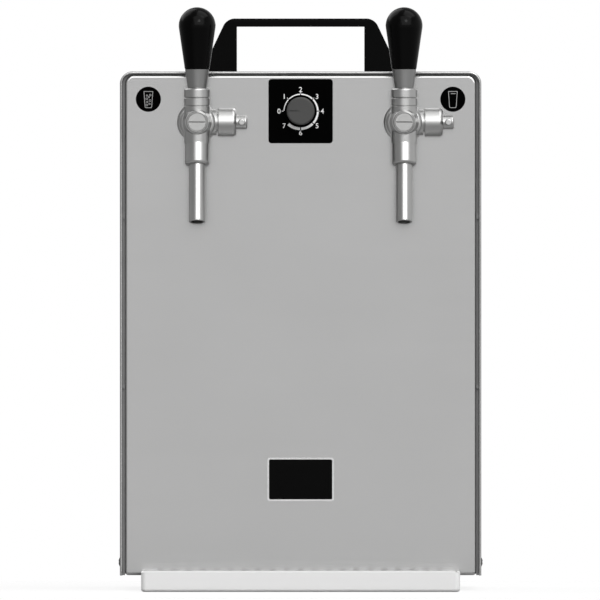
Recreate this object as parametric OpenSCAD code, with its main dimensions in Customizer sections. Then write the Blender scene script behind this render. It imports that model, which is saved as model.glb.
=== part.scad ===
// Twin-tap drink cooler. Millimetres, +Z up, front toward -Y, table at z = 0.
// The origin lies on the table under the middle of the whole part.

/* [Casing] */
// Width over the sides of the cover
cover_w = 294; // [282:1:340]
// Depth of the cover from front edge to rear edge
cover_d = 310; // [300:1:380]
// Height of the cover from lower edge to top
cover_h = 410; // [398:1:470]
// Gap between the table and the lower edge of the cover
ground_gap = 12; // [11:0.5:20]
// Thickness of the steel sheet
sheet = 1; // [0.8:0.1:1.4]
// Outer radius of the two top bends
bend_r = 10; // [9:0.5:16]
// Thickness of the folded-back front edge of the cover
hem_t = 2; // [1.6:0.1:2.6]
// Depth of the folded-back front edge of the cover
hem_d = 10; // [6:0.5:14]
// Width of the turned-in flange at the rear edge of the cover
rear_flange = 14; // [12:0.5:18]
// Height of the turned-up walls of the base
base_wall = 30; // [24:1:40]
// Length of one vent slot in the sides
vent_len = 60; // [30:1:80]
// Number of vent slots in each side
vent_count = 8; // [3:1:10]
// Height of one row of slots in the rear grille
grille_len = 58; // [30:1:62]
// Radius of the side screw heads
screw_head_r = 4.25; // [3.5:0.05:5]
// How far the side screw heads stand out
screw_head_h = 1.5; // [1:0.1:2.5]

/* [Front panel] */
// Gap between the front panel and the cover at the sides
side_gap = 2.2; // [1.5:0.1:4]
// Gap between the front panel and the cover at the top
top_gap = 0.8; // [0.6:0.1:3]
// How far the panel face lies behind the front edge of the cover
panel_recess = 1.5; // [0.5:0.1:3]
// Outer radius of the rolled edge of the panel
panel_edge_r = 2.2; // [1.8:0.1:3]
// Depth of the folded sides of the panel
panel_return = 14; // [12:0.5:20]

/* [Feet] */
// Radius of a rubber foot at the top
foot_r = 14; // [11:0.5:16]
// Sideways distance between the feet
foot_span = 220; // [200:1:230]

/* [Carry handle] */
// Height of the handle above the cover
handle_h = 44.5; // [36:0.5:60]
// Outer length of the handle at the cover
handle_len = 163.2; // [156:0.2:180]
// Length of the hand opening
handle_open = 104.4; // [90:0.2:108]
// Thickness of the grip bar
handle_bar = 6.5; // [5:0.5:10]
// Depth of the handle from front to rear
handle_d = 32; // [28:1:44]
// Slope of the outer sides away from upright
handle_slope = 25.5; // [15:0.5:28]
// Radius of the outer top corners
handle_corner_r = 11; // [6:0.5:13]

/* [Thermostat and plates] */
// Side of the square dial plate
dial_size = 52.3; // [40:0.1:60]
// Distance from the top of the cover to the knob axis
dial_drop = 32.3; // [31:0.1:45]
// Radius of the knob
knob_r = 11.35; // [9:0.05:14]
// Length of the knob
knob_len = 12; // [10:0.5:18]
// Width of the name plate inside its frame
plate_w = 51.3; // [40:0.1:70]
// Height of the name plate inside its frame
plate_h = 32.4; // [24:0.1:44]
// Height of the name plate centre above the table
plate_z = 90.2; // [60:0.1:130]
// Radius of the round badges
badge_r = 10.2; // [8:0.1:12]
// Distance from the side of the cover to a badge centre
badge_inset = 23.2; // [20:0.1:26]
// Distance from the top of the cover to a badge centre
badge_drop = 22.6; // [18:0.1:24]

/* [Taps] */
// Distance from the side of the cover to a tap axis
tap_inset = 63; // [61:0.5:67]
// Distance from the top of the cover to the tap axis
tap_drop = 41.5; // [40:0.1:48]
// Distance from the panel face to the upright axis of the tap
tap_reach = 42; // [42:0.5:60]
// Radius of the upright valve body and its bonnet
valve_r = 10.5; // [10.5:0.1:11.5]
// Forward slope of the outlet
spout_tilt = 15; // [8:1:20]
// Outer radius of the outlet tube
spout_r = 6.6; // [5.9:0.05:6.9]
// Bore radius of the outlet tube
spout_bore = 5; // [4:0.1:5.2]
// Length of the outlet from the tap axis to the tip
spout_len = 84; // [70:0.5:100]
// Largest radius of the grip
grip_r = 15; // [12:0.1:18]
// Height of the grip above the ferrule
grip_len = 50.5; // [40:0.5:70]
// Radius of the wall flange
flange_r = 16.5; // [15.5:0.1:20]
// Radius of the regulator nut
reg_nut_r = 11.4; // [10.5:0.1:12.5]
// Length of the regulator lever pin
reg_pin_len = 19; // [12:0.5:22]

/* [Drip tray] */
// Width of the tray
tray_w = 258; // [230:1:280]
// Depth of the tray in front of the casing
tray_d = 119; // [100:1:150]
// Height of the tray
tray_h = 15.8; // [15.2:0.1:19]
// Wall thickness of the tray
tray_wall = 2; // [1.5:0.1:2.2]
// Outer radius along the lower edges of the tray
tray_edge_r = 2.4; // [2.3:0.1:3.5]
// Length of the tongue that goes under the casing
tongue_len = 48; // [30:1:50]
// Thickness of the slotted grid
grid_t = 1.2; // [1:0.1:1.6]

/* [Cooling gear] */
// Distance from the side of the cover to the foam jacket
jacket_gap = 17; // [16:0.5:32]
// Height of the foam box under its lid
jacket_h = 150; // [130:1:160]
// Wall thickness of the foam jacket
jacket_wall = 30; // [24:1:30]
// Radius of the compressor can
can_r = 56; // [45:1:58]
// Height of the compressor can
can_h = 134; // [100:1:140]
// Side of the square fan frame
fan_size = 120; // [100:1:120]
// Radius of a hose spigot at the rear
spigot_r = 4.75; // [4.2:0.05:6]
// Length of a hose spigot
spigot_len = 18; // [14:0.5:30]

/* [Hidden] */
$fn = 72;
// general clearance between fixed pieces
fit = 0.1;
// radial clearance of turning and sliding pins
run_fit = 0.06;

// casing levels and depths
top_z = ground_gap + cover_h;
tray_gap = 1;
inlet_hex = 8;
rear_recess = 1.5;
front_reach = tray_gap + tray_d;
rear_reach = inlet_hex + spigot_len - rear_recess;
front_y = (front_reach - cover_d - rear_reach) / 2;
rear_y = front_y + cover_d;
mid_y = front_y + cover_d / 2;
face_y = front_y + panel_recess;
rear_face = rear_y - rear_recess;
nose_r = hem_t / 2;
panel_w = cover_w - 2 * hem_t - 2 * side_gap;
panel_z0 = ground_gap + 0.3;
panel_z1 = top_z - hem_t - top_gap;
panel_corner = max(bend_r - hem_t - top_gap, panel_edge_r + 0.6);
base_z = panel_z0 + sheet;
floor_z = base_z + sheet;
base_w = cover_w - 2 * sheet - 0.4;
base_bend = 2.5;
base_y0 = face_y + panel_return + 0.5;
base_y1 = rear_face - sheet;
screw_z = ground_gap + 10.5;
screw_ys = [front_y + 60, rear_y - 60];
shaft_r = 2;
vent_h = 4;
vent_pitch = 11;
vent_z = ground_gap + 57;
seal_y0 = face_y + panel_edge_r + 0.2;
seal_y1 = face_y + panel_edge_r + 4.2;
lug_y0 = face_y + 0.5;
lug_marks = [[292.6, 5], [153.6, 3]];

// feet
foot_head_r = 5.5;
foot_head_z = 6;

// handle
handle_screw_x = (handle_open + 28) / 2;
handle_screw_y = 9;

// thermostat and plates
dial_z = top_z - dial_drop;
dial_t = 1.2;
bush_r = 4;
spindle_r = 3;
plate_t = 0.8;
frame_t = 1.2;
frame_w = 1.4;
badge_t = 0.6;
badge_x = cover_w / 2 - badge_inset;
badge_z = top_z - badge_drop;

// taps: local origin where the upright axis meets the valve bore
tap_spacing = cover_w - 2 * tap_inset;
tap_y = face_y - tap_reach;
tap_z = top_z - tap_drop;
flange_t = 4;
barrel_r = 14.6;
barrel_y0 = 10.6;
barrel_y1 = tap_reach - flange_t;
piston_r = 6;
seat_y = 11.7;
chamber_r = 8;
reg_y = barrel_y1 - 11;
socket_y = barrel_y1 - 7.4;
shank_r = 9;
shank_end = tap_reach + sheet + 24;
back_nut_t = 7;
line_r = 4;
line_bore = 3;
bonnet_z0 = 12.8;
bonnet_z1 = 27.3;
pivot_z = bonnet_z1 - 1.5;
ferrule_z0 = bonnet_z1 + 0.4;
ferrule_z1 = ferrule_z0 + 15.1;
ferrule_r0 = 7.6;
ferrule_r1 = 9.8;
ferrule_flare = (ferrule_r1 - ferrule_r0) / (ferrule_z1 - ferrule_z0);
ferrule_foot = ferrule_r0 - ferrule_flare * (ferrule_z0 - pivot_z);
ball_r = sqrt(pow(ferrule_r0, 2) + pow(ferrule_z0 - pivot_z, 2));
seat_r = ball_r + 0.1;
tip_r = 2.6;
tip_z = 4.9;
arm_r = 1.9;
stud_r = 3;
stud_len = 16;
grip_r0 = 10.1;
grip_z = ferrule_z1 + grip_len - grip_r;
spout_set = 4;
neck_r = 9.9;
neck_len = 36.2;
socket_len = 6.7;
cap_y = -13;
cap_r = 9.1;
plug_r = 7.3;
boss_end = 15.6;
boss_r = 10.3;
spigot_x = 26.5;
nut_x0 = 16.9;
nut_x1 = 31.7;
reg_stub_r = 5.4;
reg_end = 40.5;
pin_x = 36.2;
pin_r = 3;

// drip tray
tray_y1 = front_y - tray_gap;
tray_yc = tray_y1 - tray_d / 2;
tray_corner = tray_edge_r + 1.6;
tongue_w = 150;
tongue_t = 1.6;
rail_gap = 0.3;
rail_len = tray_y1 + tongue_len + 6 - base_y0;
post_r = 4;
grid_z = tray_h - 1 - grid_t;
grid_w = tray_w - 2 * tray_wall - 1.6;
grid_d = tray_d - 2 * tray_wall - 1.6;
slot_w = 5;
slot_pitch = 11.4;
slot_len = grid_d / 2 - 16;

// cooling gear
lid_t = 20;
jacket_top = top_z - 12;
box_top = jacket_top - lid_t;
shelf_z = box_top - jacket_h;
shelf_t = 1.5;
shelf_w = base_w - 8;
shelf_y0 = front_y + 40;
shelf_y1 = rear_y - 66;
window_rim = 24;
window_trim = 50;
jacket_w = cover_w - 2 * jacket_gap;
jacket_y0 = front_y + 62;
jacket_y1 = rear_y - 50;
jacket_d = jacket_y1 - jacket_y0;
jacket_yc = (jacket_y0 + jacket_y1) / 2;
core_w = jacket_w - 2 * jacket_wall - 2 * fit;
core_d = jacket_d - 2 * jacket_wall - 2 * fit;
core_z0 = shelf_z + jacket_wall;
line_y0 = tap_y + shank_end - 8;
line_y1 = rear_face - sheet - 6;
can_x = -48;
can_set = 112;
can_y = front_y + can_set;
mount_h = 12;
mount_r = 10;
mount_dx = can_r - 6;
mount_dy = can_r - 18;
foot_clear = 3;
foot_ys = [can_y - mount_dy - mount_r - shaft_r - foot_clear, rear_y - 42];
can_plate = 3;
can_z = floor_z + mount_h + can_plate;
stub_len = 20;
suction_x = can_x + 20;
suction_r = 4.5;
cond_w = 190;
cond_rise = 19;
cond_h = mount_h + can_plate + can_h + cond_rise;
cond_d = 40;
cond_y1 = rear_y - 22;
cond_y0 = cond_y1 - cond_d;
fin_pitch = 9.5;
fin_t = 1.2;
fan_d = 32;
fan_y0 = cond_y0 - fan_d;
fan_z = floor_z + cond_h / 2;
fan_hole_r = fan_size / 2 - 3;
hub_r = 21;
motor_r = 20;
discharge_r = 3;
discharge_x = can_x - 28;
discharge_z = floor_z + cond_h - 8;
liquid_r = 2.5;
liquid_x = 8 * fin_pitch;
liquid_z = floor_z + cond_h - 30;
liquid_run = 34;

// rear fittings
power_inset = 42;
power_x = cover_w / 2 - power_inset;
power_z = shelf_z - 26;
inlet_r = 7;

// Turned shapes: the outline's second axis runs along +Y or +X.
module rev_y() rotate([-90, 0, 0]) rotate_extrude() children();
module rev_x() rotate([0, 90, 0]) rotate_extrude() children();

// Outline drawn in X and Z, filled from y0 to y1.
module along_y(y0, y1) {
  translate([0, y1, 0]) rotate([90, 0, 0]) linear_extrude(y1 - y0) children();
}

// Outline drawn in Y and Z, filled from x0 to x1.
module along_x(x0, x1) {
  translate([x0, 0, 0]) rotate([90, 0, 90]) linear_extrude(x1 - x0) children();
}

// Right-hand half plane, to trim outlines that cross a turning axis.
module half_plane() translate([0, -500]) square([500, 1000]);

// Corner waste outside a quarter circle.
module corner_waste(r, sx, sy) {
  difference() {
    translate([-sx * r / 2, -sy * r / 2]) square(r, center = true);
    translate([-sx * r, -sy * r]) circle(r);
  }
}

// Centred rectangle, radius ra on the corners at -y and rb on those at +y.
module rounded(w, h, ra, rb) {
  difference() {
    square([w, h], center = true);
    for (sx = [-1, 1]) {
      if (ra > 0) translate([sx * w / 2, -h / 2]) corner_waste(ra, sx, -1);
      if (rb > 0) translate([sx * w / 2, h / 2]) corner_waste(rb, sx, 1);
    }
  }
}

// Slot with round ends, long along x.
module slot(len, wide) {
  square([len - wide, wide], center = true);
  for (s = [-1, 1]) translate([s * (len - wide) / 2, 0]) circle(wide / 2);
}

// Lower outer quarter of a ring.
module quarter_ring(r, t) {
  intersection() {
    difference() {
      circle(r);
      circle(r - t);
    }
    translate([0, -r]) square(r);
  }
}

// Open pan with a flat floor at z = 0 and rolled lower edges.
module rolled_pan(w, h, ra, rb, edge, t, depth) {
  linear_extrude(t) rounded(w - 2 * edge, h - 2 * edge, ra - edge, rb - edge);
  translate([0, 0, edge]) linear_extrude(depth - edge) difference() {
    rounded(w, h, ra, rb);
    rounded(w - 2 * t, h - 2 * t, ra - t, rb - t);
  }
  for (sx = [-1, 1]) {
    translate([sx * (w / 2 - edge), h / 2 - rb, edge]) mirror([sx < 0 ? 1 : 0, 0, 0])
      rotate([90, 0, 0]) linear_extrude(h - ra - rb) quarter_ring(edge, t);
  }
  for (sy = [-1, 1]) {
    r = sy < 0 ? ra : rb;
    translate([r - w / 2, sy * (h / 2 - edge), edge]) mirror([0, sy < 0 ? 1 : 0, 0])
      rotate([90, 0, 90]) linear_extrude(w - 2 * r) quarter_ring(edge, t);
  }
  for (sx = [-1, 1]) for (sy = [-1, 1]) {
    r = sy < 0 ? ra : rb;
    translate([sx * (w / 2 - r), sy * (h / 2 - r), edge])
      mirror([sx < 0 ? 1 : 0, 0, 0]) mirror([0, sy < 0 ? 1 : 0, 0])
      rotate_extrude(angle = 90) translate([r - edge, 0]) quarter_ring(edge, t);
  }
}

// Domed screw along +Z: head from z = 0 up, shaft from z = 0 down.
module dome_screw(head_r, head_h, r, len) {
  dome = (head_r * head_r + head_h * head_h) / (2 * head_h);
  rotate_extrude() intersection() {
    union() {
      intersection() {
        translate([0, head_h - dome]) circle(dome);
        square([head_r, head_h]);
      }
      translate([0, -len]) square([r, len]);
    }
    half_plane();
  }
}

// Pipe that rises along +Z, turns and then runs along +Y.
module elbow(r, rise, run, bend) {
  cylinder(r = r, h = rise - bend);
  translate([0, bend, rise - bend]) rotate([0, -90, 0]) rotate_extrude(angle = -90)
    translate([bend, 0]) circle(r);
  translate([0, bend, rise]) rotate([-90, 0, 0]) cylinder(r = r, h = run - bend);
}

// Casing

module base_pan() color("silver") {
  zc = base_z + base_wall / 2;
  difference() {
    union() {
      along_y(base_y0, base_y1 - sheet) difference() {
        translate([0, zc]) rounded(base_w, base_wall, base_bend, 0);
        translate([0, zc + sheet])
          rounded(base_w - 2 * sheet, base_wall, base_bend - sheet, 0);
      }
      translate([3.5 - panel_w / 2 + panel_edge_r, face_y + panel_edge_r + 0.4, base_z])
        cube([panel_w - 7 - 2 * panel_edge_r, panel_return, sheet]);
      translate([rear_flange + 3 - base_w / 2, base_y1 - 2 * sheet, base_z])
        cube([base_w - 2 * rear_flange - 6, 2 * sheet, base_wall]);
      // guide rails under the floor, they hold the tongue of the tray
      for (s = [-1, 1]) mirror([s < 0 ? 1 : 0, 0, 0]) {
        translate([tongue_w / 2 + rail_gap, base_y0, 0.6])
          cube([2, rail_len, base_z - 0.6 + sheet / 2]);
        translate([tongue_w / 2 - 4, base_y0, tongue_t + rail_gap])
          cube([5 + rail_gap, rail_len, 1.5]);
      }
    }
    for (y = screw_ys) translate([-cover_w, y, screw_z]) rotate([0, 90, 0])
      cylinder(r = shaft_r + fit, h = 2 * cover_w);
    for (sx = [-1, 1]) for (y = foot_ys) translate([sx * foot_span / 2, y, base_z - 1])
      cylinder(r = shaft_r + fit, h = 5);
    for (x = [-60, 60]) translate([x, base_y1 - 8, floor_z + 18]) rotate([-90, 0, 0])
      cylinder(r = 1.5 + fit, h = 20);
  }
}

module cover_shell() color("lightgrey") difference() {
  union() {
    along_y(front_y + nose_r, rear_y) cover_skin(sheet);
    along_y(front_y + nose_r, front_y + hem_d) cover_skin(hem_t);
    along_y(rear_face - 2 * sheet, rear_face - sheet) cover_skin(rear_flange);
    cover_nose();
  }
  for (i = [0 : vent_count - 1]) translate([0, 0, vent_z + i * vent_pitch])
    along_x(-cover_w, cover_w) translate([rear_y - 96, 0]) slot(vent_len, vent_h);
  for (y = screw_ys) translate([-cover_w, y, screw_z]) rotate([0, 90, 0])
    cylinder(r = shaft_r + 0.3, h = 2 * cover_w);
  for (sx = [-1, 1]) for (sy = [-1, 1])
    translate([sx * handle_screw_x, mid_y + sy * handle_screw_y, top_z - 5])
      cylinder(r = shaft_r + fit, h = 10);
  rear_screw_holes();
}

// Round fold that ends the doubled front edge of the cover.
module cover_nose() {
  for (sx = [-1, 1]) {
    translate([sx * (cover_w / 2 - nose_r), front_y + nose_r, ground_gap])
      linear_extrude(cover_h - bend_r) nose_half();
    translate([sx * (cover_w / 2 - bend_r), front_y + nose_r, top_z - bend_r])
      mirror([sx < 0 ? 1 : 0, 0, 0]) rotate([90, 0, 0]) rotate_extrude(angle = 90)
      translate([bend_r - nose_r, 0]) rotate(180) nose_half();
  }
  along_x(bend_r - cover_w / 2, cover_w / 2 - bend_r)
    translate([front_y + nose_r, top_z - nose_r]) rotate(-90) nose_half();
}

// Lower half of the fold's round section.
module nose_half() intersection() {
  circle(nose_r);
  translate([-nose_r, -nose_r]) square([2 * nose_r, nose_r]);
}

// Bent strip of thickness t: two sides and the top, open at the bottom.
module cover_skin(t) {
  inner_r = max(bend_r - t, 0.5);
  difference() {
    translate([0, ground_gap + cover_h / 2]) rounded(cover_w, cover_h, 0, bend_r);
    translate([0, ground_gap + cover_h / 2 - t])
      rounded(cover_w - 2 * t, cover_h, 0, inner_r);
  }
}

module front_panel() color("silver") difference() {
  translate([0, face_y, (panel_z0 + panel_z1) / 2]) rotate([-90, 0, 0])
    rolled_pan(panel_w, panel_z1 - panel_z0, panel_corner, panel_edge_r + 0.6,
      panel_edge_r, sheet, panel_return);
  for (sx = [-1, 1]) translate([sx * tap_spacing / 2, face_y - 5, tap_z])
    rotate([-90, 0, 0]) cylinder(r = shank_r + 0.2, h = 10);
  translate([0, face_y - 5, dial_z]) rotate([-90, 0, 0]) cylinder(r = bush_r + fit, h = 10);
}

// Strip in the gap between panel and cover, with small lugs at the sides.
module panel_seal() color("dimgrey") {
  h = top_z - hem_t - fit - panel_z0;
  hole_h = panel_z1 - panel_z0 + 20;
  along_y(seal_y0, seal_y1) difference() {
    translate([0, panel_z0 + h / 2])
      rounded(cover_w - 2 * hem_t - 2 * fit, h, 0, bend_r - hem_t - fit);
    translate([0, panel_z1 + fit - hole_h / 2])
      rounded(panel_w + 2 * fit, hole_h, 0, panel_corner + fit);
  }
  for (sx = [-1, 1]) for (m = lug_marks)
    translate([sx * (panel_w + side_gap) / 2, 0, ground_gap + m[0]])
      along_y(lug_y0, seal_y1) square([side_gap - 2 * fit, m[1]], center = true);
}

// Screws of the rear panel: places given in x and z.
function rear_marks() = [
  for (sx = [-1, 1]) for (k = [0.12, 0.5, 0.88])
    [sx * (cover_w / 2 - sheet - rear_flange / 2), ground_gap + k * cover_h],
  [-60, floor_z + 18], [60, floor_z + 18]
];

module rear_screw_holes() {
  for (m = rear_marks()) translate([m[0], rear_face - 8, m[1]]) rotate([-90, 0, 0])
    cylinder(r = 1.5 + fit, h = 16);
}

module rear_panel() color("silver") {
  w = cover_w - 2 * sheet - 0.8;
  z1 = top_z - sheet - 0.4;
  difference() {
    along_y(rear_face - sheet, rear_face) translate([0, (panel_z0 + z1) / 2])
      rounded(w, z1 - panel_z0, 0.5, bend_r - sheet - 0.4);
    along_y(rear_face - 5, rear_face + 5) {
      for (i = [-7 : 7]) for (s = [-1, 1])
        translate([i * 11, fan_z + s * (grille_len + 10) / 2]) rotate(90)
          slot(grille_len, 5);
      for (sx = [-1, 1]) translate([sx * tap_spacing / 2, tap_z]) circle(inlet_r + fit);
      translate([power_x, power_z]) rounded(27.2, 20.2, 2, 2);
    }
    rear_screw_holes();
  }
}

module cover_screws() color("black") {
  for (sx = [-1, 1]) for (y = screw_ys)
    translate([sx * cover_w / 2, y, screw_z]) rotate([0, sx * 90, 0])
      dome_screw(screw_head_r, screw_head_h, shaft_r, 4.5);
}

module rear_screws() color("grey") {
  for (m = rear_marks()) translate([m[0], rear_face, m[1]]) rotate([-90, 0, 0])
    dome_screw(3.4, 1.6, 1.5, 6);
}

module feet() color("dimgrey") {
  for (sx = [-1, 1]) for (y = foot_ys) translate([sx * foot_span / 2, y, 0])
    rotate_extrude() difference() {
      polygon([[0, 0], [foot_r - 3, 0], [foot_r - 2, 1], [foot_r, base_z], [0, base_z]]);
      square([foot_head_r, foot_head_z]);
      square([shaft_r + fit, 2 * base_z]);
    }
}

module foot_screws() color("grey") {
  for (sx = [-1, 1]) for (y = foot_ys)
    translate([sx * foot_span / 2, y, foot_head_z]) rotate([180, 0, 0])
      dome_screw(4.5, 2.6, shaft_r, base_z - foot_head_z + 6);
}

// Carry handle

module handle_front() {
  a = handle_len / 2;
  inset = handle_h * tan(handle_slope);
  len = sqrt(pow(handle_h, 2) + pow(inset, 2));
  r = handle_corner_r;
  cx = (r * len + (handle_h - r) * inset) / handle_h - a;
  nx = handle_h / len;
  nz = inset / len;
  difference() {
    polygon([[-a, 0], [inset - a, handle_h], [a - inset, handle_h], [a, 0]]);
    for (s = [-1, 1]) difference() {
      polygon([
        [s * cx, handle_h - r], [s * (cx - (r + 1) * nx), handle_h - r + (r + 1) * nz],
        [s * (inset - a - 1), handle_h + 1], [s * cx, handle_h + 1]
      ]);
      translate([s * cx, handle_h - r]) circle(r + 0.05);
    }
    translate([-handle_open / 2, -1]) square([handle_open, handle_h - handle_bar + 1]);
  }
}

module carry_handle() color("black") difference() {
  translate([0, mid_y, top_z]) intersection() {
    along_y(-handle_d / 2, handle_d / 2) handle_front();
    along_x(-handle_len, handle_len) translate([0, handle_h / 2])
      rounded(handle_d, handle_h, 0.8, 3);
  }
  for (sx = [-1, 1]) for (sy = [-1, 1])
    translate([sx * handle_screw_x, mid_y + sy * handle_screw_y, top_z - 1])
      cylinder(r = shaft_r + fit, h = 15);
}

module carry_handle_screws() color("grey") {
  for (sx = [-1, 1]) for (sy = [-1, 1])
    translate([sx * handle_screw_x, mid_y + sy * handle_screw_y, top_z - sheet])
      rotate([180, 0, 0]) dome_screw(4.5, 2.6, shaft_r, sheet + 13);
}

// Thermostat and plates

module thermostat_plate() color("black") {
  translate([0, 0, dial_z]) along_y(face_y - dial_t, face_y) difference() {
    rounded(dial_size, dial_size, 2.6, 2.6);
    circle(bush_r + fit);
  }
}

module thermostat_body() color("ivory") {
  y0 = face_y + sheet;
  difference() {
    union() {
      translate([0, 0, dial_z]) along_y(y0, y0 + 28) rounded(44, 34, 2, 2);
      translate([0, face_y - dial_t, dial_z]) rotate([-90, 0, 0])
        cylinder(r = bush_r, h = dial_t + sheet + 2);
      for (x = [-12, 0, 12]) translate([x - 3, y0 + 27, dial_z - 4]) cube([6, 9, 0.8]);
    }
    translate([0, face_y - 5, dial_z]) rotate([-90, 0, 0])
      cylinder(r = spindle_r + run_fit, h = 5 + sheet + 13);
  }
}

module thermostat_knob() color("dimgrey") {
  back = dial_t + 0.4;
  round_r = 1.6;
  translate([0, face_y, dial_z]) rotate([90, 0, 0]) difference() {
    rotate_extrude() {
      translate([0, back]) difference() {
        square([knob_r, knob_len]);
        translate([knob_r, knob_len]) corner_waste(round_r, 1, 1);
        translate([bush_r + 1, -1]) square([knob_r - bush_r - 3, knob_len - 2]);
      }
      translate([0, -sheet - 12]) square([spindle_r, sheet + 13 + back]);
    }
    translate([1.5 - knob_r, -0.5, back + knob_len - 0.7]) cube([knob_r - 3, 1, 2]);
  }
}

module name_plate() color("black") {
  translate([0, 0, plate_z]) along_y(face_y - plate_t, face_y)
    rounded(plate_w, plate_h, 1.2, 1.2);
}

module name_plate_frame() color("silver") {
  translate([0, 0, plate_z]) along_y(face_y - frame_t, face_y) difference() {
    rounded(plate_w + 2 * frame_w, plate_h + 2 * frame_w, 2, 2);
    rounded(plate_w + 2 * fit, plate_h + 2 * fit, 1.3, 1.3);
  }
}

module badge(side) color("black") {
  translate([side * badge_x, face_y, badge_z]) rotate([90, 0, 0])
    cylinder(r = badge_r, h = badge_t);
}

// Drip tray

module drip_tray() color("whitesmoke") {
  translate([0, tray_yc, 0]) {
    rolled_pan(tray_w, tray_d, tray_corner, tray_corner, tray_edge_r, tray_wall, tray_h);
    for (x = [-1, 0, 1]) for (sy = [-1, 1])
      translate([x * (grid_w / 2 - post_r - 0.5), sy * (grid_d / 2 - post_r - 0.5), 0.5])
        cylinder(r = post_r, h = grid_z - 0.5);
  }
  translate([-tongue_w / 2, tray_y1 - 6, 0]) cube([tongue_w, 6 + tongue_len, tongue_t]);
}

module drip_grid() color("silver") {
  n = floor((grid_w / 2 - 12) / slot_pitch);
  translate([0, tray_yc, grid_z]) linear_extrude(grid_t) difference() {
    rounded(grid_w, grid_d, 1.6, 1.6);
    for (i = [-n : n]) for (s = [-1, 1])
      translate([i * slot_pitch, s * (slot_len + 7) / 2]) rotate(90) slot(slot_len, slot_w);
  }
}

// Taps, drawn round the local origin

module place_tap(side) translate([side * tap_spacing / 2, tap_y, tap_z]) children();

// The outlet slopes forward from a point a little behind the upright axis.
module place_spout() translate([0, spout_set, 0]) rotate([-spout_tilt, 0, 0]) children();

module tap_flange() color("silver") rev_y() polygon([
  [shank_r + fit, barrel_y1], [flange_r - 1.6, barrel_y1], [flange_r, barrel_y1 + 1.6],
  [flange_r, tap_reach], [shank_r + fit, tap_reach]
]);

module tap_shank() color("silver") rev_y() difference() {
  union() {
    translate([0, socket_y]) square([shank_r, shank_end - socket_y - 10]);
    translate([0, socket_y]) square([line_r + 2.5, shank_end - socket_y]);
  }
  square([line_bore, 2 * shank_end]);
  translate([0, shank_end - 8]) square([line_r + fit / 2, 20]);
}

module tap_back_nut() color("silver") translate([0, tap_reach + sheet, 0]) rotate([-90, 0, 0])
  difference() {
    cylinder(r = 15, h = back_nut_t, $fn = 6);
    translate([0, 0, -1]) cylinder(r = shank_r + fit, h = back_nut_t + 2);
  }

module tap_body() color("silver") difference() {
  union() {
    translate([0, 0, -17]) cylinder(r = valve_r, h = 17 + bonnet_z0);
    translate([0, 0, -19]) cylinder(r1 = valve_r - 1.4, r2 = valve_r, h = 2);
    rev_y() square([valve_r - 0.5, barrel_y0 + 4]);
    rev_y() translate([0, barrel_y0]) difference() {
      square([barrel_r, barrel_y1 - barrel_y0]);
      translate([barrel_r, 0]) corner_waste(3, 1, -1);
    }
    rotate([90, 0, 0]) translate([0, 0, 3]) cylinder(r1 = 12, r2 = cap_r + 0.3, h = -cap_y - 3);
    place_spout() rotate_extrude() translate([0, -neck_len]) difference() {
      square([neck_r, neck_len]);
      translate([neck_r, 0]) corner_waste(2.2, 1, -1);
    }
    translate([0, reg_y, 0]) rev_x() {
      square([boss_r, boss_end]);
      square([7.5, spigot_x]);
    }
  }
  rev_y() translate([0, cap_y + 4]) square([piston_r + run_fit, seat_y - cap_y]);
  rev_y() translate([0, cap_y - 1]) square([plug_r + fit, 5]);
  rev_y() translate([0, seat_y]) square([chamber_r, socket_y - seat_y + 0.1]);
  rev_y() translate([0, socket_y]) square([shank_r + fit / 2, 20]);
  along_x(-3, 3) polygon([[-3, 0], [10.4, 0], [10.4, 6.5], [7.3, 14], [-3, 14]]);
  place_spout() rotate_extrude() translate([0, -60]) {
    square([spout_bore, 60]);
    square([spout_r + fit / 2, 60 - neck_len + socket_len]);
  }
  translate([0, reg_y, 0]) rev_x() square([spindle_r + run_fit, spigot_x + 5]);
}

module tap_bonnet() color("silver") rotate_extrude() difference() {
  translate([0, bonnet_z0]) square([valve_r, bonnet_z1 - bonnet_z0]);
  translate([valve_r, bonnet_z1]) corner_waste(1.4, 1, 1);
  translate([0, pivot_z]) circle(seat_r);
  polygon([
    [0, pivot_z - 1], [seat_r, pivot_z - 1], [seat_r + 1.4, bonnet_z1],
    [seat_r + 1.4, bonnet_z1 + 5], [0, bonnet_z1 + 5]
  ]);
  polygon([[0, bonnet_z0 - 1], [7.7, bonnet_z0 - 1], [5, pivot_z - 6.2], [0, pivot_z - 6.2]]);
  translate([valve_r, bonnet_z0 + 7]) rotate(45) square(0.9, center = true);
  translate([valve_r, bonnet_z0 + 0.4]) rotate(45) square(0.6, center = true);
}

module tap_cap() color("silver") difference() {
  rev_y() difference() {
    union() {
      polygon([
        [0, cap_y - 2.4], [cap_r - 1.1, cap_y - 2.4], [cap_r, cap_y - 1.4], [cap_r, cap_y],
        [0, cap_y]
      ]);
      translate([0, cap_y]) square([plug_r, 3.8]);
    }
    translate([7.4, cap_y - 2.4]) rotate(45) square(0.5, center = true);
  }
  translate([0, cap_y - 2.4, 0]) rotate([45, 0, 0]) cube([13.2, 0.9, 0.9], center = true);
}

module tap_spout() color("silver") place_spout() rotate_extrude() difference() {
  translate([0, -spout_len]) square([spout_r, spout_len - neck_len + socket_len]);
  translate([0, -spout_len - 1]) square([spout_bore, spout_len]);
  translate([spout_r, -spout_len]) corner_waste(0.6, 1, -1);
}

module tap_lever() color("silver") rotate_extrude() intersection() {
  union() {
    translate([0, pivot_z]) circle(ball_r);
    polygon([
      [0, pivot_z], [ferrule_foot, pivot_z], [ferrule_r1, ferrule_z1], [0, ferrule_z1]
    ]);
    translate([0, tip_z]) circle(tip_r);
    translate([0, tip_z]) square([arm_r, pivot_z - tip_z]);
    translate([0, ferrule_z1 - 1]) square([stud_r, stud_len + 1]);
  }
  half_plane();
}

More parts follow.
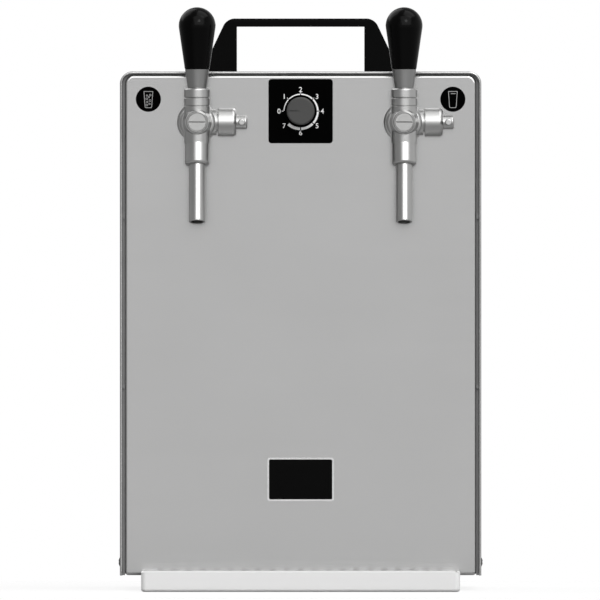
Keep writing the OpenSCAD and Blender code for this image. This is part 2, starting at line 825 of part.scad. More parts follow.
module tap_grip() color("black") rotate_extrude() difference() {
  a = atan((grip_r - grip_r0) / (grip_z - ferrule_z1));
  intersection() {
    union() {
      polygon([
        [0, ferrule_z1], [grip_r0 - 0.6, ferrule_z1], [grip_r0, ferrule_z1 + 0.6],
        [grip_r * cos(a), grip_z - grip_r * sin(a)], [0, grip_z]
      ]);
      translate([0, grip_z]) circle(grip_r);
    }
    half_plane();
  }
  square([stud_r + fit, ferrule_z1 + stud_len + 1]);
}

module tap_piston() color("gold") difference() {
  rev_y() polygon([
    [0, -8.2], [piston_r, -8.2], [piston_r, -2.8], [2, -2.8], [2, 2.8], [piston_r, 2.8],
    [piston_r, 6.8], [2.5, 6.8], [2.5, seat_y + 2.5], [5.5, seat_y + 2.5],
    [5.5, seat_y + 4.3], [0, seat_y + 4.3]
  ]);
  for (s = [-1, 1]) translate([s * 6.6 - 3, 2.8, -8]) cube([6, 5, 16]);
}

module tap_seal() color("black") rev_y()
  translate([2.5 + fit, seat_y]) square([chamber_r - 3.4, 2.5]);

module regulator_nut() color("silver") translate([0, reg_y, 0]) rev_x() difference() {
  translate([0, nut_x0]) square([reg_nut_r, nut_x1 - nut_x0]);
  translate([reg_nut_r, nut_x1]) corner_waste(3, 1, 1);
  translate([reg_nut_r, nut_x0]) corner_waste(0.5, 1, -1);
  square([7.5 + fit, spigot_x + 0.3]);
  square([reg_stub_r + run_fit, nut_x1 + 5]);
}

module regulator_spindle() color("silver") translate([0, reg_y, 0]) difference() {
  union() {
    rev_x() {
      translate([0, -4]) square([spindle_r, spigot_x + 5]);
      translate([0, spigot_x + 0.3]) difference() {
        square([reg_stub_r, reg_end - spigot_x - 0.3]);
        translate([reg_stub_r, reg_end - spigot_x - 0.3]) corner_waste(1.4, 1, 1);
      }
    }
    translate([pin_x, 0, 0]) rotate([90, 0, 0]) rotate_extrude() difference() {
      square([pin_r, reg_pin_len]);
      translate([pin_r, reg_pin_len]) corner_waste(1.2, 1, 1);
    }
  }
  translate([-10, -10, 0]) cube([15, 20, 10]);
}

// Cooling gear

module cooler_shelf() color("silver") {
  zc = (floor_z + shelf_z) / 2;
  h = shelf_z - floor_z;
  difference() {
    along_y(shelf_y0, shelf_y1) difference() {
      translate([0, zc]) rounded(shelf_w, h, 0, 3);
      translate([0, zc - shelf_t]) rounded(shelf_w - 2 * shelf_t, h, 0, 3 - shelf_t);
    }
    along_x(-cover_w, cover_w) for (s = [-1, 1])
      translate([(shelf_y0 + shelf_y1) / 2 + s * (shelf_y1 - shelf_y0) / 4, zc - 6])
        rounded((shelf_y1 - shelf_y0) / 2 - window_rim, h - window_trim, 8, 8);
    translate([suction_x, can_y, shelf_z - 5]) cylinder(r = suction_r + 0.5, h = 10);
    translate([liquid_x, cond_y0 - liquid_run, shelf_z - 5])
      cylinder(r = liquid_r + 0.5, h = 10);
  }
}

module insulation_box() color("white") difference() {
  translate([0, jacket_yc, shelf_z]) linear_extrude(jacket_h)
    rounded(jacket_w, jacket_d, 6, 6);
  translate([0, jacket_yc, core_z0]) linear_extrude(jacket_h)
    rounded(core_w + 2 * fit, core_d + 2 * fit, 3 + fit, 3 + fit);
  for (sx = [-1, 1]) translate([sx * tap_spacing / 2, jacket_y0 - 5, tap_z])
    rotate([-90, 0, 0]) cylinder(r = line_r + fit, h = jacket_d + 10);
  translate([suction_x, can_y, shelf_z - 1]) cylinder(r = suction_r + fit, h = jacket_wall + 2);
  translate([liquid_x, cond_y0 - liquid_run, shelf_z - 1])
    cylinder(r = liquid_r + fit, h = jacket_wall + 2);
}

module insulation_lid() color("white") translate([0, jacket_yc, box_top])
  linear_extrude(lid_t) rounded(jacket_w, jacket_d, 6, 6);

module cooling_block() color("lightgrey") difference() {
  translate([0, jacket_yc, core_z0]) linear_extrude(box_top - core_z0 - 0.2)
    rounded(core_w, core_d, 3, 3);
  for (sx = [-1, 1]) translate([sx * tap_spacing / 2, jacket_y0 - 5, tap_z])
    rotate([-90, 0, 0]) cylinder(r = line_r + fit, h = jacket_d + 10);
}

module beverage_lines() color("silver") {
  for (sx = [-1, 1]) translate([sx * tap_spacing / 2, line_y0, tap_z]) rotate([-90, 0, 0])
    difference() {
      cylinder(r = line_r, h = line_y1 - line_y0);
      translate([0, 0, -1]) cylinder(r = line_bore, h = line_y1 - line_y0 + 2);
    }
}

module compressor() color("black") translate([can_x, can_y, 0]) difference() {
  round_r = can_r / 2;
  union() {
    translate([0, 0, can_z]) rotate_extrude() intersection() {
      union() {
        square([can_r - round_r, can_h]);
        translate([0, round_r]) square([can_r, can_h - 2 * round_r]);
        for (z = [round_r, can_h - round_r]) translate([can_r - round_r, z]) circle(round_r);
      }
      half_plane();
    }
    translate([-can_r - 6, -can_r + 6, can_z - can_plate])
      cube([2 * can_r + 12, 2 * can_r - 12, can_plate + 0.5]);
    translate([0, 0, can_z + can_h / 2]) rotate_extrude()
      translate([can_r - 4, -2]) square([6.5, 4]);
    translate([suction_x - can_x, 0, can_z + can_h - 6])
      cylinder(r = suction_r + 1.5, h = 12);
    translate([discharge_x - can_x, 0, can_z + can_h - 20])
      cylinder(r = discharge_r + 1.5, h = 22);
  }
  translate([suction_x - can_x, 0, can_z + can_h - 2])
    cylinder(r = suction_r + fit, h = stub_len);
  translate([discharge_x - can_x, 0, can_z + can_h - 6])
    cylinder(r = discharge_r + fit, h = stub_len);
}

module compressor_mounts() color("dimgrey") {
  for (sx = [-1, 1]) for (sy = [-1, 1])
    translate([can_x + sx * mount_dx, can_y + sy * mount_dy, floor_z])
      rotate_extrude() polygon([
        [0, 0], [mount_r, 0], [mount_r, mount_h / 4], [0.8 * mount_r, mount_h * 5 / 12],
        [0.8 * mount_r, mount_h * 7 / 12], [mount_r, mount_h * 3 / 4], [mount_r, mount_h],
        [0, mount_h]
      ]);
}

module condenser() color("lightgrey") {
  n = floor(cond_w / 2 / fin_pitch);
  for (i = [-n : n]) translate([i * fin_pitch - fin_t / 2, cond_y0, floor_z])
    cube([fin_t, cond_d, cond_h]);
  for (k = [0 : 4]) translate([-n * fin_pitch - 6, (cond_y0 + cond_y1) / 2,
      floor_z + cond_h * (k + 0.5) / 5]) rotate([0, 90, 0])
    cylinder(r = 4, h = 2 * n * fin_pitch + 12);
}

module fan_frame() color("black") translate([0, fan_y0, fan_z]) difference() {
  union() {
    along_y(0, fan_d) difference() {
      rounded(fan_size, fan_size, 6, 6);
      circle(fan_hole_r);
    }
    along_y(fan_d - 7, fan_d) circle(motor_r);
    for (a = [45 : 90 : 315]) rotate([0, a, 0]) translate([motor_r - 2, fan_d - 5, -3])
      cube([fan_hole_r - motor_r + 4, 5, 6]);
  }
  rotate([-90, 0, 0]) cylinder(r = 2.5 + run_fit, h = fan_d - 1);
  for (sx = [-1, 1]) for (sz = [-1, 1])
    translate([sx * (fan_size / 2 - 7.5), -1, sz * (fan_size / 2 - 7.5)]) rotate([-90, 0, 0])
      cylinder(r = 2.2, h = fan_d + 2);
}

module fan_rotor() color("dimgrey") translate([0, fan_y0, fan_z]) {
  rev_y() {
    translate([0, 2]) square([hub_r, fan_d - 10]);
    translate([0, 2]) square([2.5, fan_d - 4]);
  }
  intersection() {
    rev_y() translate([hub_r - 2, 3]) square([fan_hole_r - hub_r, fan_d - 12]);
    for (i = [0 : 6]) rotate([0, i * 360 / 7, 0]) translate([hub_r - 3, 13, 0])
      rotate([40, 0, 0]) translate([0, -0.8, -16]) cube([fan_hole_r, 1.6, 32]);
  }
}

module refrigerant_lines() color("peru") {
  suction_z = can_z + can_h - 1;
  translate([suction_x, can_y, suction_z]) cylinder(r = suction_r, h = core_z0 - suction_z);
  discharge_z0 = can_z + can_h - 5;
  translate([discharge_x, can_y, discharge_z0])
    elbow(discharge_r, discharge_z - discharge_z0, cond_y0 - can_y, 9);
  translate([liquid_x, cond_y0 - liquid_run, core_z0]) mirror([0, 0, 1])
    elbow(liquid_r, core_z0 - liquid_z, liquid_run, 12);
}

// Rear fittings

module inlet_fittings() color("silver") {
  for (sx = [-1, 1]) translate([sx * tap_spacing / 2, rear_face, tap_z]) difference() {
    union() {
      rotate([-90, 0, 0]) cylinder(r = 11, h = inlet_hex, $fn = 6);
      rev_y() translate([0, -sheet - 14]) square([inlet_r, sheet + 15]);
      rev_y() square([spigot_r, inlet_hex + spigot_len]);
    }
    rev_y() translate([0, -50]) square([line_bore, 100]);
    rev_y() translate([0, -50]) square([line_r + fit / 2, 44 - sheet]);
  }
}

module inlet_nuts() color("silver") {
  for (sx = [-1, 1]) translate([sx * tap_spacing / 2, rear_face - sheet - 6, tap_z])
    rotate([-90, 0, 0]) difference() {
      cylinder(r = 12, h = 6, $fn = 6);
      translate([0, 0, -1]) cylinder(r = inlet_r + fit, h = 8);
    }
}

module power_inlet() color("black") translate([power_x, 0, power_z]) {
  difference() {
    union() {
      along_y(rear_face, rear_face + 3) rounded(50, 28, 4, 4);
      along_y(rear_face - 22, rear_face + 1) rounded(27, 20, 2, 2);
    }
    along_y(rear_face - 16, rear_face + 10) rounded(24.4, 16.6, 2, 3.5);
    for (s = [-1, 1]) translate([s * 20, rear_face - 1, 0]) rotate([-90, 0, 0])
      cylinder(r = 1.8, h = 10);
  }
  for (p = [[-7, -1.5], [0, 2.5], [7, -1.5]])
    translate([p[0] - 1, rear_face - 17, p[1] - 2]) cube([2, 14, 4]);
}

base_pan();
cover_shell();
front_panel();
panel_seal();
rear_panel();
cover_screws();
rear_screws();
feet();
foot_screws();
carry_handle();
carry_handle_screws();
thermostat_plate();
thermostat_body();
thermostat_knob();
name_plate();
name_plate_frame();
badge(-1);  // left_badge
badge(1);  // right_badge
drip_tray();
drip_grid();
place_tap(-1) tap_flange();  // left_tap_flange
place_tap(-1) tap_shank();  // left_tap_shank
place_tap(-1) tap_back_nut();  // left_tap_back_nut
place_tap(-1) tap_body();  // left_tap_body
place_tap(-1) tap_bonnet();  // left_tap_bonnet
place_tap(-1) tap_cap();  // left_tap_cap
place_tap(-1) tap_spout();  // left_tap_spout
place_tap(-1) tap_lever();  // left_tap_lever
place_tap(-1) tap_grip();  // left_tap_grip
place_tap(-1) tap_piston();  // left_tap_piston
place_tap(-1) tap_seal();  // left_tap_seal
place_tap(-1) regulator_nut();  // left_regulator_nut
place_tap(-1) regulator_spindle();  // left_regulator_spindle
place_tap(1) tap_flange();  // right_tap_flange
place_tap(1) tap_shank();  // right_tap_shank
place_tap(1) tap_back_nut();  // right_tap_back_nut
place_tap(1) tap_body();  // right_tap_body
place_tap(1) tap_bonnet();  // right_tap_bonnet
place_tap(1) tap_cap();  // right_tap_cap
place_tap(1) tap_spout();  // right_tap_spout
place_tap(1) tap_lever();  // right_tap_lever
place_tap(1) tap_grip();  // right_tap_grip
place_tap(1) tap_piston();  // right_tap_piston
place_tap(1) tap_seal();  // right_tap_seal
place_tap(1) regulator_nut();  // right_regulator_nut
place_tap(1) regulator_spindle();  // right_regulator_spindle
cooler_shelf();
insulation_box();
insulation_lid();
cooling_block();
beverage_lines();
compressor();
compressor_mounts();
condenser();
fan_frame();
fan_rotor();
refrigerant_lines();
inlet_fittings();
inlet_nuts();
power_inlet();
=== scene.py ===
"""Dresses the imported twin-tap drink cooler: finishes, prints, fine fittings, light and camera.

Lengths are in metres, apart from those whose docstring says millimetres.
"""

import logging
import math
from abc import ABC, abstractmethod
from dataclasses import dataclass, field
from enum import Enum
from typing import Any, ClassVar, Sequence

import bmesh
import bpy
from mathutils import Matrix, Vector


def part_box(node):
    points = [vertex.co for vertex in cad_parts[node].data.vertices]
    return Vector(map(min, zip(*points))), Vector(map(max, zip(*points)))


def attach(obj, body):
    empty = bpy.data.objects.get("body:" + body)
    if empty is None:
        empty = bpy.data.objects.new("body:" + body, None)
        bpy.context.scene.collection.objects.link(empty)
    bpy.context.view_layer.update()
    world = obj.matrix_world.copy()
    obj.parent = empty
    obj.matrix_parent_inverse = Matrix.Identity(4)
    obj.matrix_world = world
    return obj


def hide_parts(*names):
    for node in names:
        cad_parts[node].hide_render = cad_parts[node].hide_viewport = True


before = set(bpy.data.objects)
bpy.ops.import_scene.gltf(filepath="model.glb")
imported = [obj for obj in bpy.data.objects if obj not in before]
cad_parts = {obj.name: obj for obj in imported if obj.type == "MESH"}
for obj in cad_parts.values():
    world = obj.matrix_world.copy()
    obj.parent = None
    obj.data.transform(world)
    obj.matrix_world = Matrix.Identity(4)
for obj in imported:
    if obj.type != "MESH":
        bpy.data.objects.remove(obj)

LOG = logging.getLogger("drink_cooler")
MM = 0.001
SOLID_WELD = 0.000001
PRINT_WELD = 0.0000005
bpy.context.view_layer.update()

Rgb = tuple[float, float, float]
Flat = tuple[float, float]
Span = tuple[float, float]
Tip = tuple[Vector, Vector]


class Wire:
    """An output socket of a node tree; arithmetic on it adds Math nodes."""

    def __init__(self, tree: "Tree", socket: bpy.types.NodeSocket) -> None:
        """Keeps the tree and the socket."""
        self.tree = tree
        self.socket = socket

    def output(self, name: str) -> "Wire":
        """Another output of the same node."""
        return Wire(self.tree, self.socket.node.outputs[name])

    def _math(self, operation: str, first: Any, second: Any) -> "Wire":
        """Adds one Math node.

        Args:
            operation: the node's operation.
            first: a Wire or a number.
            second: a Wire or a number.

        Returns:
            The node's value.
        """
        return self.tree.node("ShaderNodeMath", {"operation": operation}, {0: first, 1: second})

    def __add__(self, other: Any) -> "Wire":
        """Sum."""
        return self._math("ADD", self, other)

    def __radd__(self, other: Any) -> "Wire":
        """Sum with a number on the left."""
        return self._math("ADD", other, self)

    def __sub__(self, other: Any) -> "Wire":
        """Difference."""
        return self._math("SUBTRACT", self, other)

    def __rsub__(self, other: Any) -> "Wire":
        """Difference with a number on the left."""
        return self._math("SUBTRACT", other, self)

    def __mul__(self, other: Any) -> "Wire":
        """Product."""
        return self._math("MULTIPLY", self, other)

    def __rmul__(self, other: Any) -> "Wire":
        """Product with a number on the left."""
        return self._math("MULTIPLY", other, self)

    def __truediv__(self, other: Any) -> "Wire":
        """Quotient."""
        return self._math("DIVIDE", self, other)

    def __rtruediv__(self, other: Any) -> "Wire":
        """Quotient with a number on the left."""
        return self._math("DIVIDE", other, self)

    def larger(self, other: Any) -> "Wire":
        """The larger of two values."""
        return self._math("MAXIMUM", self, other)

    def smooth(self, low: float, high: float) -> "Wire":
        """Rises smoothly from 0 at low to 1 at high.

        Args:
            low: value where the rise starts.
            high: value where the rise ends.

        Returns:
            A value from 0 to 1.
        """
        return self.tree.node(
            "ShaderNodeMapRange",
            {"interpolation_type": "SMOOTHSTEP"},
            {"Value": self, "From Min": low, "From Max": high},
        )


class Tree:
    """A node tree that is built by calls."""

    def __init__(self, tree: bpy.types.NodeTree) -> None:
        """Keeps Blender's tree."""
        self.tree = tree

    def node(
        self,
        kind: str,
        settings: dict[str, Any] | None = None,
        sockets: dict[str | int, Any] | None = None,
        out: str | int = 0,
    ) -> Wire:
        """Adds a node.

        Args:
            kind: the node's type.
            settings: its settings, which are set first.
            sockets: values or Wires for its inputs; a list links several to one input.
            out: the output that is returned.

        Returns:
            The chosen output.
        """
        made = self.tree.nodes.new(kind)
        for key, value in (settings or {}).items():
            setattr(made, key, value)
        for key, value in (sockets or {}).items():
            for single in value if isinstance(value, list) else [value]:
                if isinstance(single, Wire):
                    self.tree.links.new(single.socket, made.inputs[key])
                else:
                    made.inputs[key].default_value = single
        return Wire(self, made.outputs[out])


class ShaderTree(Tree):
    """A material's or the world's node tree."""

    def end(self, kind: str, surface: Wire) -> None:
        """Links a shader to the tree's output.

        Args:
            kind: the type of the output node.
            surface: the shader.
        """
        last = self.tree.nodes.new(kind)
        self.tree.links.new(surface.socket, last.inputs["Surface"])

    def coords(self, stretch: tuple[float, float, float] = (1.0, 1.0, 1.0)) -> Wire:
        """Object coordinates, stretched along the axes."""
        where = self.node("ShaderNodeTexCoord", out="Object")
        return self.node("ShaderNodeMapping", sockets={"Vector": where, "Scale": stretch})

    def clouds(self, vector: Wire, scale: float) -> Wire:
        """Soft noise with a mean of about 0.5."""
        sockets = {"Vector": vector, "Scale": scale, "Detail": 3.0}
        return self.node("ShaderNodeTexNoise", sockets=sockets)

    def tooth(self, scale: float) -> Wire:
        """Fine noise on Object coordinates, with less detail than clouds."""
        sockets = {"Vector": self.coords(), "Scale": scale, "Detail": 2.0}
        return self.node("ShaderNodeTexNoise", sockets=sockets)

    def blend(self, factor: Wire, first: Rgb, second: Rgb) -> Wire:
        """A colour between two colours."""
        sockets = {0: factor, 6: (*first, 1.0), 7: (*second, 1.0)}
        return self.node("ShaderNodeMix", {"data_type": "RGBA"}, sockets, out=2)

    def bump(self, height: Wire, distance: float) -> Wire:
        """A normal bent by a height, which is this distance in metres where it is 1."""
        sockets = {"Height": height, "Distance": distance, "Strength": 1.0}
        return self.node("ShaderNodeBump", sockets=sockets)


class Grain(Enum):
    """Direction of the brush marks on sheet steel, as a stretch of the noise."""

    ALONG_X = (14.0, 1500.0, 1500.0)
    ALONG_Y = (1500.0, 14.0, 1500.0)


def grey(level: float) -> Rgb:
    """A plain grey."""
    return (level, level, level)


def shade(color: Rgb, factor: float) -> Rgb:
    """A colour made lighter or darker by a factor, kept within 1."""
    return tuple(min(1.0, part * factor) for part in color)


@dataclass(frozen=True)
class Finish(ABC):
    """A surface finish that makes one material."""

    name: str
    color: Rgb
    roughness: float

    @abstractmethod
    def sockets(self, tree: ShaderTree) -> dict[str, Any]:
        """Builds the pattern.

        Args:
            tree: the material's tree.

        Returns:
            Values and Wires for the surface shader.
        """

    def tones(self, tree: ShaderTree, pattern: Wire, spread: float) -> Wire:
        """The finish's colour, from darker to lighter by a share as the pattern rises."""
        return tree.blend(pattern, shade(self.color, 1 - spread), shade(self.color, 1 + spread))

    def gloss(self, *patterns: tuple[Wire, float]) -> Wire:
        """The finish's roughness, changed a little by patterns around its mean.

        Args:
            patterns: each pattern and how much it changes the roughness from its 0 to its 1.

        Returns:
            The roughness.
        """
        total: Any = self.roughness - sum(depth for _, depth in patterns) / 2
        for pattern, depth in patterns:
            total = pattern * depth + total
        return total

    def material(self) -> bpy.types.Material:
        """The material, made at the first call."""
        made = bpy.data.materials.get(self.name)
        if made is None:
            made = bpy.data.materials.new(self.name)
            made.use_nodes = True
            made.node_tree.nodes.clear()
            tree = ShaderTree(made.node_tree)
            surface = tree.node("ShaderNodeBsdfPrincipled", sockets=self.sockets(tree))
            tree.end("ShaderNodeOutputMaterial", surface)
        return made


@dataclass(frozen=True)
class SheetSteel(Finish):
    """Brushed stainless sheet: fine streaks along the grain and faint clouds from handling."""

    grain: Grain = Grain.ALONG_X
    streak: float = 0.05
    streak_share: float = 0.8
    streak_relief: float = 0.000004
    streak_gloss: float = 0.05
    cloud_scale: float = 11.0
    cloud_gloss: float = 0.03

    def sockets(self, tree: ShaderTree) -> dict[str, Any]:
        """Streaks in colour, gloss and height."""
        streaks = tree.clouds(tree.coords(self.grain.value), 1.0)
        clouds = tree.clouds(tree.coords(), self.cloud_scale)
        pattern = streaks * self.streak_share + clouds * (1 - self.streak_share)
        return {
            "Base Color": self.tones(tree, pattern, self.streak),
            "Metallic": 1.0,
            "Roughness": self.gloss((streaks, self.streak_gloss), (clouds, self.cloud_gloss)),
            "Normal": tree.bump(streaks, self.streak_relief),
        }


@dataclass(frozen=True)
class TurnedMetal(Finish):
    """Plated or turned metal: a fine satin tooth and slow changes of gloss."""

    tooth_scale: float = 2400.0
    tooth_relief: float = 0.000003
    tooth_gloss: float = 0.05
    cloud_scale: float = 60.0
    cloud_gloss: float = 0.08
    spread: float = 0.04

    def sockets(self, tree: ShaderTree) -> dict[str, Any]:
        """Tooth in height, clouds in colour and gloss."""
        tooth = tree.tooth(self.tooth_scale)
        clouds = tree.clouds(tree.coords(), self.cloud_scale)
        return {
            "Base Color": self.tones(tree, clouds, self.spread),
            "Metallic": 1.0,
            "Roughness": self.gloss((clouds, self.cloud_gloss), (tooth, self.tooth_gloss)),
            "Normal": tree.bump(tooth, self.tooth_relief),
        }


@dataclass(frozen=True)
class Moulded(Finish):
    """Moulded plastic, rubber or paint: a fine grain in height and small changes of gloss."""

    grain_scale: float = 1800.0
    relief: float = 0.00002
    grain_gloss: float = 0.08
    cloud_scale: float = 35.0
    cloud_gloss: float = 0.1
    spread: float = 0.08
    ior: float = 1.45

    def sockets(self, tree: ShaderTree) -> dict[str, Any]:
        """Grain in height and gloss, clouds in colour."""
        grain = tree.tooth(self.grain_scale)
        clouds = tree.clouds(tree.coords(), self.cloud_scale)
        return {
            "Base Color": self.tones(tree, clouds, self.spread),
            "Roughness": self.gloss((clouds, self.cloud_gloss), (grain, self.grain_gloss)),
            "IOR": self.ior,
            "Normal": tree.bump(grain, self.relief),
        }


@dataclass(frozen=True)
class Foam(Finish):
    """Bead foam: rounded cells in height with darker joints."""

    bead: float = 0.004
    joint_shade: float = 0.8
    relief: float = 0.0004

    def sockets(self, tree: ShaderTree) -> dict[str, Any]:
        """Cells in colour and height."""
        cells = tree.node(
            "ShaderNodeTexVoronoi",
            {"feature": "SMOOTH_F1"},
            {"Vector": tree.coords(), "Scale": 1 / self.bead},
        )
        return {
            "Base Color": tree.blend(cells, self.color, shade(self.color, self.joint_shade)),
            "Roughness": self.roughness,
            "Normal": tree.bump(1 - cells, self.relief),
        }


@dataclass(frozen=True)
class Ink(Finish):
    """Screen-printed ink: even, with a slightly mottled cover."""

    mottle_scale: float = 900.0
    mottle_gloss: float = 0.1
    thin_shade: float = 0.93
    thick_shade: float = 1.05

    def sockets(self, tree: ShaderTree) -> dict[str, Any]:
        """Mottle in colour and gloss."""
        mottle = tree.clouds(tree.coords(), self.mottle_scale)
        thin, thick = shade(self.color, self.thin_shade), shade(self.color, self.thick_shade)
        return {
            "Base Color": tree.blend(mottle, thin, thick),
            "Roughness": self.gloss((mottle, self.mottle_gloss)),
        }


PANEL_STEEL = SheetSteel("brushed_panel_steel", (0.52, 0.52, 0.518), 0.14, streak=0.02)
COVER_STEEL = SheetSteel(
    "brushed_cover_steel", (0.44, 0.44, 0.438), 0.22, grain=Grain.ALONG_Y, streak=0.04
)
CASING_STEEL = SheetSteel("plain_casing_steel", grey(0.6), 0.38, streak=0.04)
GRID_STEEL = SheetSteel("brushed_grid_steel", grey(0.62), 0.3)
TAP_METAL = TurnedMetal("satin_tap_metal", (0.46, 0.46, 0.456), 0.3)
CAP_METAL = TurnedMetal("satin_cap_metal", (0.39, 0.39, 0.386), 0.32)
FERRULE_METAL = TurnedMetal("satin_ferrule_metal", (0.31, 0.31, 0.308), 0.36)
LINE_STEEL = TurnedMetal("drawn_line_steel", grey(0.55), 0.28)
FRAME_METAL = TurnedMetal("satin_plate_frame", grey(0.6), 0.25)
ZINC = TurnedMetal("zinc_screw_metal", (0.5, 0.51, 0.53), 0.35)
BRASS = TurnedMetal("turned_brass", (0.6, 0.42, 0.17), 0.28)
COPPER = TurnedMetal("drawn_copper", (0.72, 0.37, 0.22), 0.3)
ALUMINIUM = TurnedMetal("cast_aluminium", (0.68, 0.69, 0.7), 0.42, tooth_relief=0.00001)
BLACK_OXIDE = Moulded(
    "black_screw_oxide", grey(0.006), 0.5, grain_scale=900.0, relief=0.00001, ior=1.12
)
HANDLE_PLASTIC = Moulded(
    "grained_handle_plastic", grey(0.003), 0.62, grain_scale=1500.0, relief=0.00004, ior=1.08
)
GRIP_PLASTIC = Moulded(
    "gloss_grip_plastic", grey(0.0005), 0.19, grain_scale=900.0, relief=0.000002, ior=1.18
)
KNOB_PLASTIC = Moulded(
    "satin_knob_plastic", (0.07, 0.07, 0.069), 0.55, grain_scale=2200.0, ior=1.25
)
DIAL_FILM = Moulded(
    "matt_dial_film", grey(0.0008), 0.75, grain_scale=2600.0, relief=0.000006, ior=1.06
)
BADGE_FILM = Moulded(
    "matt_badge_film", grey(0.0008), 0.75, grain_scale=2600.0, relief=0.000006, ior=1.06
)
PLATE_GLOSS = Moulded(
    "gloss_plate_enamel", grey(0.0008), 0.3, grain_scale=400.0, relief=0.000004, ior=1.12
)
TRAY_PLASTIC = Moulded(
    "satin_tray_plastic", (0.82, 0.82, 0.818), 0.42,
    grain_scale=1600.0, relief=0.000012, spread=0.015, ior=1.3,
)
SEAL_RUBBER = Moulded(
    "matt_seal_rubber", grey(0.19), 0.8, grain_scale=1400.0, relief=0.00003, ior=1.3
)
RUBBER = Moulded("matt_rubber", grey(0.02), 0.8, grain_scale=1400.0, relief=0.00004)
SWITCH_PLASTIC = Moulded("switch_housing_plastic", (0.7, 0.67, 0.57), 0.5)
FAN_PLASTIC = Moulded("fan_plastic", grey(0.012), 0.5)
SOCKET_PLASTIC = Moulded("mains_socket_plastic", grey(0.012), 0.45)
COMPRESSOR_PAINT = Moulded(
    "compressor_enamel", grey(0.01), 0.35, grain_scale=300.0, relief=0.00003
)
JACKET_FOAM = Foam("jacket_bead_foam", (0.82, 0.82, 0.8), 0.85)
WHITE_INK = Ink("white_print_ink", grey(0.9), 0.6)
GREY_INK = Ink("grey_print_ink", grey(0.42), 0.6)


class Side(Enum):
    """The two taps and their badges: sparkling on the left, still on the right."""

    LEFT = "left"
    RIGHT = "right"


class Axis(Enum):
    """The axis along which a screw points, as a place in a vector."""

    X = 0
    Y = 1


def add_object(name: str, data: bpy.types.ID) -> bpy.types.Object:
    """Links a mesh, a text, a light or a camera into the scene as an object at the origin."""
    made = bpy.data.objects.new(name, data)
    bpy.context.scene.collection.objects.link(made)
    return made


def applied(obj: bpy.types.Object) -> bpy.types.Mesh:
    """The object's mesh with its modifiers worked in.

    Args:
        obj: an object with modifiers, or a text.

    Returns:
        A plain mesh of its own.
    """
    graph = bpy.context.evaluated_depsgraph_get()
    return bpy.data.meshes.new_from_object(
        obj.evaluated_get(graph), preserve_all_data_layers=True, depsgraph=graph
    )


def extent(corners: Sequence[Vector]) -> tuple[Vector, Vector]:
    """The low and the high corner of the box round some points.

    Args:
        corners: the points.

    Returns:
        The two corners.
    """
    low = Vector([min(corner[k] for corner in corners) for k in range(3)])
    high = Vector([max(corner[k] for corner in corners) for k in range(3)])
    return low, high


def islands(shape: bmesh.types.BMesh) -> list[list[Vector]]:
    """The corners of each connected part of a mesh.

    Args:
        shape: the mesh, with its doubles merged.

    Returns:
        One list of corners for each part.
    """
    seen: set[bmesh.types.BMVert] = set()
    found = []
    for first in shape.verts:
        if first in seen:
            continue
        seen.add(first)
        corners, queue = [], [first]
        while queue:
            here = queue.pop()
            corners.append(here.co.copy())
            fresh = {edge.other_vert(here) for edge in here.link_edges} - seen
            seen |= fresh
            queue.extend(fresh)
        found.append(corners)
    return found


@dataclass
class Assembly(ABC):
    """A sub-assembly of the cooler; the pieces that it adds ride on one CAD body."""

    body: str = "casing"

    @abstractmethod
    def build(self) -> None:
        """Makes the meshes and dresses the nodes."""

    def dress(self, finishes: dict[str, Finish]) -> None:
        """Gives CAD nodes their finishes.

        Args:
            finishes: the finish of each node, by the node's name.
        """
        for node, finish in finishes.items():
            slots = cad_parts[node].data.materials
            slots.clear()
            slots.append(finish.material())
            LOG.info("dressed %s with %s", node, finish.name)

    def add(self, piece: bpy.types.Object, slot: str) -> None:
        """Lets a piece ride on the assembly's body.

        Args:
            piece: the new piece.
            slot: the record's material slot; not used.
        """
        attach(piece, self.body)
        LOG.info("made %s: %d faces", piece.name, len(piece.data.polygons))


